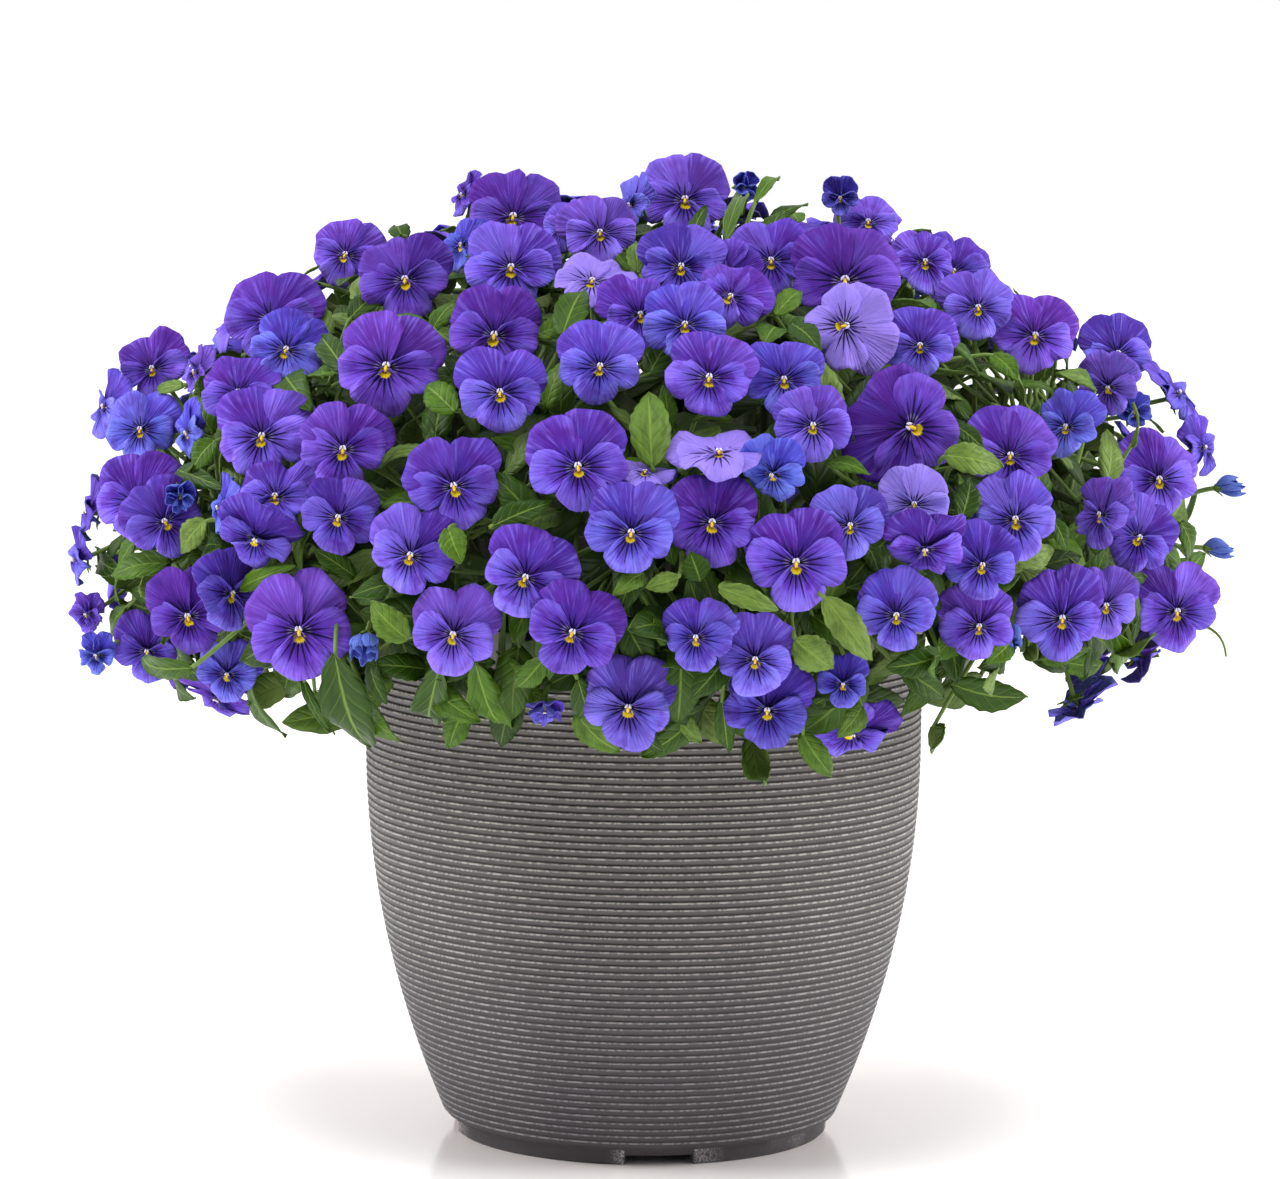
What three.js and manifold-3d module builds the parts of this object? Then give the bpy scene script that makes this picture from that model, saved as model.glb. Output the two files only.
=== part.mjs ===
// A ribbed round planter filled with pansies. Millimetres, +Z up, the front faces -Y.
// The origin is on the floor, in the middle of the pot's foot.
// Pieces: the pot, its soil, the flowering stems (sprays) and the leafy stems, all standing in the soil.

import * as THREE from 'three';
import Module from 'manifold-3d';
import { mergeVertices } from 'three/addons/utils/BufferGeometryUtils.js';

const wasm = await Module();
wasm.setup();

// Driving dimensions of the pot
const POT_HEIGHT = 315;
const POT_RADIUS = 153.5;
const FOOT_FLARE = 49; // how much slimmer the pot is at its foot
const FLARE_HEIGHT = 215; // the wall is upright above this
const FOOT_RING_RADIUS = 104;
const FOOT_RING_HEIGHT = 9;
const FOOT_RING_WIDTH = 9;
const POT_WALL = 3.2;
const POT_FLOOR = 12; // height of the floor's upper face
const RIB_BAND = [10, 264]; // heights between which the wall is ribbed
const RIB_COUNT = 12;
const RIB_RELIEF = 1.6;
const RIB_SHAPE = { crest: 0.35, groove: 0.92 }; // shares of the pitch
const LIP = { overhang: 2, height: 10, slope: 2 };
const EDGE_ROUNDING = 1.5;
const POT_SIDES = 24;
const NOTCH = { count: 4, width: 38, height: 5, offset: 11 };
const DRAIN = { count: 5, radius: 6, ring: 60, sides: 8 };

// Driving dimensions of the planting
const SOIL_TOP = 292;
const GAP = 0.35; // clear of a neighbouring piece
const HOLE_DEPTH = 26;
const STEM_RADIUS = 3;
const STEM_TIP = 0.85; // how thick a stem is at its end, of that
const STALK_RADIUS = 1.25; // of a pedicel or a petiole
const FOOT_SPREAD = 122; // how far out the stems stand in the soil
const BLOOM_DEPTH = 7; // from a bloom's eye back to its neck
const THROAT = -1.5; // how far forward its throat lies
const LEAF_KEEL = 1.3;
const LEAVES_A_STEM = 3; // at least
const BLOOMS_A_SPRAY = 7; // on average
const SEEN_LEAVES_A_STEM = 4; // on average
const HIDDEN_LEAFY_SPOTS = 15; // even spots over the whole dome, of which those out of sight get a leafy stem

// The dome on which the eyes of the blooms lie: half an ellipsoid over a rounder skirt
const DOME = { x: 1, z: 320, radius: 300, up: 194, down: 80, skirt: 3 };

// How the photograph was taken, which places what it shows: pixels for the lens, millimetres for the rest
const PHOTO = {
  middle: [640, 589.5],
  focal: 4800,
  roll: THREE.MathUtils.degToRad(0.64),
  pitch: THREE.MathUtils.degToRad(6.03),
  eye: new THREE.Vector3(-2.9, -2633, 578),
};

// The blooms that the photograph shows. x, y: where the eye is in its pixels;
// wide: across the side petals, in mm; in degrees: roll, clockwise; turn, to the right; tip, upwards.
const SEEN_BLOOMS = [
  { x: 345, y: 255, wide: 37, roll: 15 },
  { x: 286, y: 350, wide: 38, roll: 18 },
  { x: 270, y: 319, wide: 46 },
  { x: 152, y: 369, wide: 36, roll: -10 },
  { x: 194, y: 372, wide: 26, turn: -50 },
  { x: 262, y: 437, wide: 46 },
  { x: 238, y: 393, wide: 37, tip: 10 },
  { x: 140, y: 430, wide: 36 },
  { x: 103, y: 407, wide: 34, roll: 10, turn: -50 },
  { x: 186, y: 433, wide: 28, roll: -20, turn: -50, tip: -20 },
  { x: 343, y: 450, wide: 43 },
  { x: 338, y: 518, wide: 36, roll: 8 },
  { x: 136, y: 502, wide: 43 },
  { x: 180, y: 498, wide: 22, turn: 20, tip: -40 },
  { x: 165, y: 522, wide: 38, roll: -30, turn: 20 },
  { x: 85, y: 513, wide: 34, turn: -65 },
  { x: 74, y: 560, wide: 30, turn: -60, tip: -20 },
  { x: 86, y: 615, wide: 25, turn: -20 },
  { x: 96, y: 656, wide: 25, turn: -15 },
  { x: 188, y: 617, wide: 42, roll: -10 },
  { x: 147, y: 652, wide: 34 },
  { x: 232, y: 594, wide: 36, turn: 55 },
  { x: 227, y: 675, wide: 30, roll: 8 },
  { x: 299, y: 631, wide: 50, roll: -5 },
  { x: 275, y: 497, wide: 40, tip: 25 },
  { x: 255, y: 540, wide: 38, roll: 30, turn: -10, tip: -45 },
  { x: 218, y: 508, wide: 28, turn: -60 },
  { x: 365, y: 645, wide: 20, tip: -55 },
  { x: 454, y: 487, wide: 44, roll: -12 },
  { x: 410, y: 556, wide: 40, roll: 14 },
  { x: 453, y: 635, wide: 40, roll: 5 },
  { x: 525, y: 578, wide: 40, roll: 24 },
  { x: 572, y: 633, wide: 43, roll: 20 },
  { x: 628, y: 708, wide: 43, roll: 5 },
  { x: 545, y: 712, wide: 23, tip: -50 },
  { x: 631, y: 533, wide: 41, roll: 5 },
  { x: 578, y: 467, wide: 45, roll: -10 },
  { x: 405, y: 280, wide: 45, roll: -3 },
  { x: 386, y: 367, wide: 51, roll: 8 },
  { x: 494, y: 336, wide: 47, roll: 5 },
  { x: 500, y: 393, wide: 41 },
  { x: 511, y: 268, wide: 44 },
  { x: 513, y: 217, wide: 47, roll: 10 },
  { x: 462, y: 195, wide: 26, turn: -60 },
  { x: 461, y: 245, wide: 28, turn: -40 },
  { x: 600, y: 233, wide: 38, roll: -5 },
  { x: 562, y: 228, wide: 28, turn: -30 },
  { x: 592, y: 281, wide: 37, roll: 15, tip: 25 },
  { x: 630, y: 205, wide: 28, turn: -60, tip: -20 },
  { x: 600, y: 367, wide: 39, roll: 3 },
  { x: 640, y: 315, wide: 36, turn: 20 },
  { x: 685, y: 200, wide: 47 },
  { x: 681, y: 267, wide: 40, roll: 10 },
  { x: 685, y: 325, wide: 39 },
  { x: 709, y: 378, wide: 42, roll: 8 },
  { x: 726, y: 272, wide: 30, roll: 25, turn: -25 },
  { x: 730, y: 297, wide: 36, roll: 35, tip: 10 },
  { x: 771, y: 261, wide: 39 },
  { x: 746, y: 188, wide: 22, turn: 30, tip: -30 },
  { x: 845, y: 281, wide: 55 },
  { x: 868, y: 222, wide: 34, tip: 15 },
  { x: 840, y: 198, wide: 24, tip: -30 },
  { x: 845, y: 326, wide: 43, roll: 80 },
  { x: 920, y: 346, wide: 35, turn: -10 },
  { x: 784, y: 380, wide: 37 },
  { x: 813, y: 426, wide: 36 },
  { x: 772, y: 475, wide: 30, turn: -20, tip: -40 },
  { x: 719, y: 452, wide: 43, tip: 50 },
  { x: 911, y: 427, wide: 53, roll: -70 },
  { x: 925, y: 262, wide: 34, turn: 10 },
  { x: 953, y: 272, wide: 38 },
  { x: 978, y: 308, wide: 36 },
  { x: 1035, y: 336, wide: 40, roll: 10 },
  { x: 1118, y: 354, wide: 38 },
  { x: 1108, y: 388, wide: 32, turn: -30, tip: -40 },
  { x: 1134, y: 412, wide: 24 },
  { x: 1180, y: 393, wide: 36, turn: 50, tip: 30 },
  { x: 1066, y: 427, wide: 32, turn: -40 },
  { x: 1010, y: 456, wide: 41, roll: 5 },
  { x: 1159, y: 480, wide: 42 },
  { x: 1205, y: 448, wide: 32, turn: 45 },
  { x: 1228, y: 487, wide: 18, turn: 60 },
  { x: 1217, y: 549, wide: 17, turn: 70, tip: -20 },
  { x: 1139, y: 538, wide: 37, roll: 40 },
  { x: 1100, y: 515, wide: 34, turn: -60 },
  { x: 1106, y: 606, wide: 35 },
  { x: 1062, y: 619, wide: 42 },
  { x: 1177, y: 612, wide: 43 },
  { x: 982, y: 566, wide: 36, roll: 10 },
  { x: 1015, y: 520, wide: 41 },
  { x: 925, y: 550, wide: 38, tip: -50 },
  { x: 914, y: 505, wide: 34 },
  { x: 850, y: 526, wide: 33 },
  { x: 796, y: 563, wide: 46, roll: -3 },
  { x: 712, y: 523, wide: 43 },
  { x: 696, y: 638, wide: 33, turn: -15 },
  { x: 755, y: 660, wide: 37 },
  { x: 767, y: 711, wide: 40 },
  { x: 843, y: 685, wide: 26 },
  { x: 852, y: 735, wide: 40, roll: 20, tip: -40 },
  { x: 896, y: 616, wide: 37 },
  { x: 979, y: 627, wide: 36 },
  { x: 1012, y: 637, wide: 16, tip: -40 },
  { x: 645, y: 472, wide: 30, tip: 55 },
];

// The leaves that the photograph shows best: from where the blade starts to its tip, in its pixels;
// wide and lift, which is how far it stands out of the dome, in mm.
const SEEN_LEAVES = [
  { from: [335, 655], to: [372, 742], wide: 24, lift: 6 },
  { from: [303, 680], to: [331, 731], wide: 6, lift: -4 },
  { from: [192, 668], to: [144, 657], wide: 14, lift: 12 },
  { from: [175, 675], to: [196, 698], wide: 12, lift: -6 },
  { from: [408, 640], to: [370, 602], wide: 16, lift: -4 },
  { from: [440, 665], to: [432, 715], wide: 17, lift: -4 },
  { from: [475, 662], to: [510, 725], wide: 16, lift: -4 },
  { from: [545, 658], to: [517, 688], wide: 12, lift: -4 },
  { from: [578, 680], to: [602, 731], wide: 15, lift: -10 },
  { from: [700, 708], to: [640, 756], wide: 18, lift: -10 },
  { from: [722, 700], to: [728, 751], wide: 10, lift: -8 },
  { from: [753, 730], to: [763, 779], wide: 14, lift: -8 },
  { from: [825, 598], to: [871, 660], wide: 16, lift: 4 },
  { from: [795, 640], to: [832, 668], wide: 18, lift: -6 },
  { from: [940, 655], to: [886, 668], wide: 16, lift: -6 },
  { from: [1012, 640], to: [986, 663], wide: 12, lift: -6 },
  { from: [1116, 635], to: [1112, 665], wide: 12, lift: -6 },
  { from: [1018, 563], to: [1054, 550], wide: 12, lift: -4 },
  { from: [1052, 518], to: [1067, 552], wide: 9, lift: -4 },
  { from: [1181, 522], to: [1190, 561], wide: 12, lift: 0 },
  { from: [492, 526], to: [551, 502], wide: 13, lift: -2 },
  { from: [448, 528], to: [462, 563], wide: 14, lift: -2 },
  { from: [652, 466], to: [648, 392], wide: 20, lift: -8 },
  { from: [720, 588], to: [778, 609], wide: 11, lift: -4 },
  { from: [678, 578], to: [646, 588], wide: 10, lift: -4 },
  { from: [700, 580], to: [690, 552], wide: 14, lift: -8 },
  { from: [792, 324], to: [821, 352], wide: 13, lift: -4 },
  { from: [775, 315], to: [800, 293], wide: 12, lift: -8 },
  { from: [992, 354], to: [1018, 380], wide: 13, lift: -4 },
  { from: [1095, 388], to: [1056, 373], wide: 9, lift: -2 },
  { from: [955, 425], to: [984, 450], wide: 10, lift: 0 },
  { from: [945, 455], to: [1001, 468], wide: 16, lift: -4 },
  { from: [962, 518], to: [970, 480], wide: 14, lift: -4 },
  { from: [1108, 482], to: [1106, 430], wide: 15, lift: -4 },
  { from: [562, 336], to: [583, 292], wide: 17, lift: -4 },
  { from: [538, 335], to: [572, 325], wide: 11, lift: -6 },
  { from: [432, 330], to: [456, 303], wide: 10, lift: -6 },
  { from: [455, 412], to: [425, 385], wide: 16, lift: -8 },
  { from: [350, 318], to: [386, 292], wide: 14, lift: -6 },
  { from: [345, 370], to: [322, 338], wide: 14, lift: -6 },
  { from: [285, 375], to: [312, 412], wide: 18, lift: -8 },
  { from: [182, 385], to: [160, 400], wide: 9, lift: -4 },
  { from: [215, 440], to: [192, 470], wide: 14, lift: -8 },
  { from: [178, 470], to: [224, 488], wide: 12, lift: -6 },
  { from: [205, 520], to: [182, 552], wide: 14, lift: -8 },
  { from: [240, 588], to: [294, 565], wide: 9, lift: -6 },
  { from: [103, 555], to: [128, 575], wide: 12, lift: -6 },
  { from: [725, 240], to: [744, 205], wide: 9, lift: -2 },
  { from: [755, 202], to: [778, 181], wide: 6, lift: 6 },
];

// Seeded random numbers between 0 and 1
let seed = 2417;
function draw() {
  seed = (seed * 16807) % 2147483647;
  return seed / 2147483647;
}

function between(low, high) {
  return low + (high - low) * draw();
}

const UP = new THREE.Vector3(0, 0, 1);
const RIGHT = new THREE.Vector3(1, 0, 0);
const BACK = new THREE.Vector3(0, 1, 0);
const GOLDEN_TURN = Math.PI * (3 - Math.sqrt(5));

function mix(a, b, share) {
  return a.clone().lerp(b, share);
}

function along(point, direction, distance) {
  return point.clone().addScaledVector(direction, distance);
}

function pointing(from, to) {
  return to.clone().sub(from).normalize();
}

// How far inside the dome a point is: 0 on it, positive inside
function inside(point, lift) {
  const reach = Math.hypot(point.x - DOME.x, point.y) / (DOME.radius + lift);
  const rise = point.z - DOME.z;
  if (rise >= 0) return 1 - reach ** 2 - (rise / (DOME.up + lift)) ** 2;
  return 1 - reach ** DOME.skirt - (-rise / (DOME.down + lift)) ** DOME.skirt;
}

const SKIRT_STRETCH = 1.6; // the ellipsoid nearest to the skirt is this many times as deep

// The way out of the dome at a point on it
function outward(point) {
  const rise = point.z - DOME.z;
  const height = rise >= 0 ? DOME.up : DOME.down * SKIRT_STRETCH;
  const level = new THREE.Vector3(point.x - DOME.x, point.y, 0).divideScalar(DOME.radius ** 2);
  return along(level, UP, rise / height ** 2).normalize();
}

const SIGHT_LINE = { near: 2250, far: 2750, step: 4 }; // the stretch that is searched for the dome

// Where the sight line of a pixel meets the dome, or passes closest to it
function fromPhoto(x, y, lift) {
  const right = x - PHOTO.middle[0];
  const rise = PHOTO.middle[1] - y;
  const levelRight = right * Math.cos(PHOTO.roll) - rise * Math.sin(PHOTO.roll);
  const levelRise = right * Math.sin(PHOTO.roll) + rise * Math.cos(PHOTO.roll);
  const ahead = new THREE.Vector3(0, Math.cos(PHOTO.pitch), -Math.sin(PHOTO.pitch));
  const upwards = new THREE.Vector3(0, Math.sin(PHOTO.pitch), Math.cos(PHOTO.pitch));
  const sight = along(ahead, upwards, levelRise / PHOTO.focal);
  sight.x += levelRight / PHOTO.focal;
  let best = along(PHOTO.eye, sight, SIGHT_LINE.near);
  for (let distance = SIGHT_LINE.near; distance <= SIGHT_LINE.far; distance += SIGHT_LINE.step) {
    const point = along(PHOTO.eye, sight, distance);
    if (inside(point, lift) > inside(best, lift)) best = point;
    if (inside(best, lift) >= 0) break;
  }
  return best;
}

// Spots spread evenly over the dome, from its top to its skirt, in a golden spiral
function evenSpots(count, lift, lowest) {
  const slices = 200;
  const skirtDepth = DOME.down * SKIRT_STRETCH;
  const areas = [0];
  for (let i = 0; i < slices; i += 1) {
    const angle = THREE.MathUtils.lerp(Math.PI / 2, lowest, (i + 0.5) / slices);
    const height = angle > 0 ? DOME.up : skirtDepth;
    const slope = Math.hypot(DOME.radius * Math.sin(angle), height * Math.cos(angle));
    areas.push(areas[i] + Math.cos(angle) * slope);
  }
  const spots = [];
  let slice = 0;
  for (let k = 0; k < count; k += 1) {
    const wanted = (areas[slices] * (k + 0.5)) / count;
    while (areas[slice + 1] < wanted) slice += 1;
    const angle = THREE.MathUtils.lerp(Math.PI / 2, lowest, (slice + 0.5) / slices);
    const height = angle > 0 ? DOME.up : skirtDepth;
    const reach = (DOME.radius + lift) * Math.cos(angle);
    spots.push(
      new THREE.Vector3(
        DOME.x + reach * Math.cos(k * GOLDEN_TURN),
        reach * Math.sin(k * GOLDEN_TURN),
        DOME.z + (height + lift) * Math.sin(angle),
      ),
    );
  }
  return spots;
}

const RIM_POINTS = 10;

// A blade, a petal disc or a leaf, as an ellipse: its middle, its normal, its long and its short half-axis
function ellipse(middle, normal, lengthways, long, short) {
  const sideways = new THREE.Vector3().crossVectors(lengthways, normal).normalize();
  const rim = [];
  for (let i = 0; i < RIM_POINTS; i += 1) {
    const angle = (2 * Math.PI * i) / RIM_POINTS;
    const point = along(middle, lengthways, long * Math.cos(angle));
    rim.push(along(point, sideways, short * Math.sin(angle)));
    if (i % 2 === 0) rim.push(mix(middle, rim[rim.length - 1], 0.5));
  }
  return { middle, normal, lengthways, sideways, long, short, rim };
}

const CLEAR = 3.5; // how far apart two blades lie where they pass over each other
const MARGIN = 1.5; // beyond a blade's rim

// Whether one blade lies wholly to one side of the other, where it passes over it
function passes(blade, other) {
  let above = false;
  let below = false;
  for (const point of blade.rim) {
    const offset = point.clone().sub(other.middle);
    const reach = Math.hypot(
      offset.dot(other.lengthways) / (other.long + MARGIN),
      offset.dot(other.sideways) / (other.short + MARGIN),
    );
    if (reach < 1) {
      const height = offset.dot(other.normal);
      if (height < CLEAR) below = true;
      if (height > -CLEAR) above = true;
    }
  }
  return !(above && below);
}

function clashes(blade, others) {
  let count = 0;
  for (const other of others) {
    const reach = blade.long + other.long + CLEAR;
    if (blade.middle.distanceToSquared(other.middle) > reach * reach) continue;
    if (!passes(blade, other) || !passes(other, blade)) count += 1;
  }
  return count;
}

// Slides a blade in and out along a line to where it clears the others best
function settle(make, slides, clashesOf) {
  let best = null;
  let least = Infinity;
  for (const slide of slides) {
    const blade = make(slide);
    const count = clashesOf(blade);
    if (count < least) {
      best = blade;
      least = count;
    }
    if (least === 0) break;
  }
  return best;
}

const SLIDES = [0, 4, -4, 8, -8, 12, -12, 16, -16, 20, -20];
const DISC = { rise: 0.08, long: 0.56, short: 0.5 }; // a bloom's disc, in widths

function bloomAt(eye, facing, roll, wide) {
  const level = along(UP, facing, -UP.dot(facing)).normalize();
  const side = new THREE.Vector3().crossVectors(level, facing);
  const top = level.clone().multiplyScalar(Math.cos(roll)).addScaledVector(side, Math.sin(roll));
  const across = side.clone().multiplyScalar(Math.cos(roll)).addScaledVector(level, -Math.sin(roll));
  const middle = along(along(eye, top, wide * DISC.rise), facing, THROAT);
  const disc = ellipse(middle, facing, top, wide * DISC.long, wide * DISC.short);
  return { eye, facing, top, across, wide, disc };
}

function turned(facing, turn, tip) {
  const side = new THREE.Vector3().crossVectors(UP, facing).normalize();
  const rise = new THREE.Vector3().crossVectors(facing, side).normalize();
  return along(along(facing, side, Math.tan(turn)), rise, Math.tan(tip)).normalize();
}

const TO_VIEWER = 0.8; // how strongly a seen bloom turns to the viewer, and how strongly out of the dome
const TO_OUTSIDE = 0.35;

// A bloom that the photograph shows turns mostly to the viewer
function seenBloom(seen, slide) {
  const radians = THREE.MathUtils.degToRad;
  const onDome = fromPhoto(seen.x, seen.y, 0);
  const viewer = pointing(onDome, PHOTO.eye);
  const eye = along(onDome, viewer, slide);
  const facing = along(viewer.clone().multiplyScalar(TO_VIEWER), outward(onDome), TO_OUTSIDE).normalize();
  const turn = radians(seen.turn ?? 0);
  return bloomAt(eye, turned(facing, turn, radians(seen.tip ?? 0)), radians(seen.roll ?? 0), seen.wide);
}

const HIDDEN_SPOTS = 138; // even spots over the whole dome, of which those out of sight get a bloom
const SIGHT = 0.12; // an outward direction that leans less than this to the viewer is out of sight
const BLOOM_SPACING = 34;
const HIDDEN_BLOOM = { least: 34, most: 48, lean: 0.1, turn: 0.35, tip: 0.3, roll: 0.5 };
const SKIRT_LOWEST = THREE.MathUtils.degToRad(-36);

function placeBlooms() {
  const blooms = [];
  const add = (make) => {
    const discs = blooms.map(({ disc }) => disc);
    blooms.push(settle(make, SLIDES, (bloom) => clashes(bloom.disc, discs)));
  };
  for (const seen of SEEN_BLOOMS) add((slide) => ({ ...seenBloom(seen, slide), seen: true }));
  for (const spot of evenSpots(HIDDEN_SPOTS, 0, SKIRT_LOWEST)) {
    const out = outward(spot);
    if (out.dot(pointing(spot, PHOTO.eye)) > SIGHT) continue;
    if (blooms.some((bloom) => bloom.eye.distanceTo(spot) < BLOOM_SPACING)) continue;
    const turn = between(-HIDDEN_BLOOM.turn, HIDDEN_BLOOM.turn);
    const tip = between(-HIDDEN_BLOOM.tip, HIDDEN_BLOOM.tip);
    const facing = turned(along(out, UP, HIDDEN_BLOOM.lean).normalize(), turn, tip);
    const roll = between(-HIDDEN_BLOOM.roll, HIDDEN_BLOOM.roll);
    const wide = between(HIDDEN_BLOOM.least, HIDDEN_BLOOM.most);
    add((slide) => bloomAt(along(spot, out, slide), facing, roll, wide));
  }
  return blooms;
}

// Moves each centre to the middle of the points nearest to it, over and over
function gather(centres, points) {
  const passes = 12;
  let moved = centres;
  for (let pass = 0; pass < passes; pass += 1) {
    const groups = moved.map(() => []);
    for (const point of points) groups[nearestIndex(moved, point)].push(point);
    moved = moved.map((centre, i) => {
      if (groups[i].length === 0) return centre;
      const sum = groups[i].reduce((total, point) => total.add(point), new THREE.Vector3());
      return sum.divideScalar(groups[i].length);
    });
  }
  return moved;
}

// Moves places away from one another until they are a distance apart
function pushApart(places, spacing) {
  const passes = 40;
  for (let pass = 0; pass < passes; pass += 1) {
    places.forEach((place, i) => {
      places.forEach((other, k) => {
        const shortfall = spacing - place.distanceTo(other);
        if (i !== k && shortfall > 0) place.addScaledVector(pointing(other, place), shortfall / 2);
      });
    });
  }
}

function nearestIndex(places, point) {
  let best = 0;
  places.forEach((place, i) => {
    if (place.distanceToSquared(point) < places[best].distanceToSquared(point)) best = i;
  });
  return best;
}

const STEM_SPACING = 34; // between the ends of two stems
const FOOT_SPACING = 16; // between their feet
const STEM_DEPTH = 34; // from the dome in to the end of a stem
const LOWEST_END = POT_HEIGHT + 14;
const LOWEST_CREST = 440; // takes the low stems over the rim of the pot
const CREST = { out: 0.28, up: 0.75 }; // where a stem bends over, as shares of its way out and of its way up
const UPRIGHT = 4; // the height above the soil to which a stem stands straight
const STEM_PIECES = 3; // straight pieces from there to its end

// Where the stems end: each spray under its own group of blooms, each leafy stem behind its own leaves
function placeEnds(blooms, leafStarts) {
  const eyes = blooms.map((bloom) => bloom.eye);
  const sprays = gather(eyes.filter((_, i) => i % BLOOMS_A_SPRAY === 0), eyes);
  const leafy = gather(leafStarts.filter((_, i) => i % SEEN_LEAVES_A_STEM === 0), leafStarts);
  const hidden = evenSpots(HIDDEN_LEAFY_SPOTS, 0, SKIRT_LOWEST)
    .filter((spot) => outward(spot).dot(pointing(spot, PHOTO.eye)) < SIGHT);
  const ends = [...sprays, ...leafy, ...hidden];
  pushApart(ends, STEM_SPACING);
  return ends.map((end, i) => {
    const raised = end.clone().setZ(Math.max(end.z, LOWEST_END));
    return { place: onDome(raised, -STEM_DEPTH), leafy: i >= sprays.length };
  });
}

// The point of the dome, or of one that is larger by the lift, straight out from its middle
function onDome(point, lift) {
  const middle = new THREE.Vector3(DOME.x, 0, DOME.z);
  const halvings = 30;
  let low = 0;
  let high = 3;
  for (let i = 0; i < halvings; i += 1) {
    const share = (low + high) / 2;
    if (inside(mix(middle, point, share), lift) > 0) low = share;
    else high = share;
  }
  return mix(middle, point, low);
}

// The stems rise from the soil and fan out under the dome; every one stands upright in its hole
function placeStems(ends) {
  const feet = ends.map(({ place }) => {
    const reach = Math.hypot(place.x - DOME.x, place.y);
    const steepness = Math.max(0, Math.atan2(place.z - LOWEST_END, reach));
    const spread = FOOT_SPREAD * Math.sqrt(1 - steepness / (Math.PI / 2));
    return new THREE.Vector3(((place.x - DOME.x) / reach) * spread, (place.y / reach) * spread, SOIL_TOP);
  });
  pushApart(feet, FOOT_SPACING);
  return ends.map(({ place, leafy }, i) => {
    const foot = feet[i];
    const crestHeight = SOIL_TOP + CREST.up * (Math.max(place.z, LOWEST_CREST) - SOIL_TOP);
    const crest = mix(foot, place, CREST.out).setZ(crestHeight);
    const curve = new THREE.QuadraticBezierCurve3(along(foot, UP, UPRIGHT), crest, place);
    const route = [along(foot, UP, -HOLE_DEPTH), ...curve.getPoints(STEM_PIECES)];
    return { foot, leafy, route, blooms: [], leaves: [] };
  });
}

// A point on the straight pieces that the stem is built from
function onRoute(stem, share) {
  const piece = Math.min(Math.floor(share * STEM_PIECES), STEM_PIECES - 1);
  return mix(stem.route[piece + 1], stem.route[piece + 2], share * STEM_PIECES - piece);
}

function closest(stems, point) {
  return stems.reduce((best, stem) =>
    stem.route.at(-1).distanceTo(point) < best.route.at(-1).distanceTo(point) ? stem : best,
  );
}

function leafAt(from, to, face, wide) {
  const lengthways = pointing(from, to);
  const across = new THREE.Vector3().crossVectors(lengthways, face).normalize();
  const normal = new THREE.Vector3().crossVectors(across, lengthways).normalize();
  const length = from.distanceTo(to);
  const disc = ellipse(mix(from, to, 0.5), normal, lengthways, length / 2, wide / 2);
  return { from, to, normal, length, wide, disc };
}

const ROOTS = { highest: 0.97, step: 0.045, count: 11 }; // shares of a stem's length where repeats may start
const CLEARANCE = 5; // between the middles of two stalks

// The straight pieces between the points of a route
function linesOf(route) {
  return route.slice(1).map((place, i) => new THREE.Line3(route[i], place));
}

// How close a straight stalk comes to any of the lines
function closestPass(from, to, lines) {
  const stepLength = 2;
  const steps = Math.ceil(from.distanceTo(to) / stepLength) + 1;
  const nearest = new THREE.Vector3();
  let least = Infinity;
  for (let i = 0; i <= steps; i += 1) {
    const place = mix(from, to, i / steps);
    for (const line of lines) {
      line.closestPointToPoint(place, true, nearest);
      least = Math.min(least, nearest.distanceTo(place));
    }
  }
  return least;
}

// Gives every repeat a root of its own on its stem, as high as its stalk clears the other stems and stalks
function giveRoots(stems, repeatsOn, startOf, otherLines) {
  for (const stem of stems) {
    const end = stem.route.at(-1);
    const distance = (repeat) => startOf(repeat).distanceTo(end);
    const waiting = [...repeatsOn(stem)].sort((a, b) => distance(a) - distance(b));
    const places = Math.max(ROOTS.count, waiting.length);
    const free = Array.from({ length: places }, (_, i) => ROOTS.highest - i * ROOTS.step);
    const lines = otherLines.filter((line) => line.owner !== stem);
    for (const repeat of waiting) {
      const passes = free.map((share) => {
        return Math.min(CLEARANCE, closestPass(startOf(repeat), onRoute(stem, share), lines));
      });
      const chosen = passes.indexOf(Math.max(...passes));
      repeat.root = onRoute(stem, free[chosen]);
      free.splice(chosen, 1);
      otherLines.push(Object.assign(new THREE.Line3(startOf(repeat), repeat.root), { owner: stem }));
    }
  }
}

function seenLeaf(seen, slide) {
  const [from, to] = [seen.from, seen.to].map(([x, y]) => {
    const point = fromPhoto(x, y, seen.lift);
    return along(point, pointing(point, PHOTO.eye), slide);
  });
  const middle = mix(from, to, 0.5);
  const face = outward(middle).add(pointing(middle, PHOTO.eye)).normalize();
  return leafAt(from, to, face, seen.wide);
}

const HIDDEN_LEAF = { least: 36, most: 52, narrow: 0.44, broad: 0.56, out: 0.75, up: 0.6 };
const HIDDEN_PETIOLE = { reach: 11, rise: 8 };
const LEAFY_STRETCH = 0.4; // the share of a stem over which its hidden leaves grow
const LEAF_ATTEMPTS = 8;
const ATTEMPT_TURN = 0.8; // about the stem, from one attempt to the next
const LEAF_JITTER = 0.3;

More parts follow.
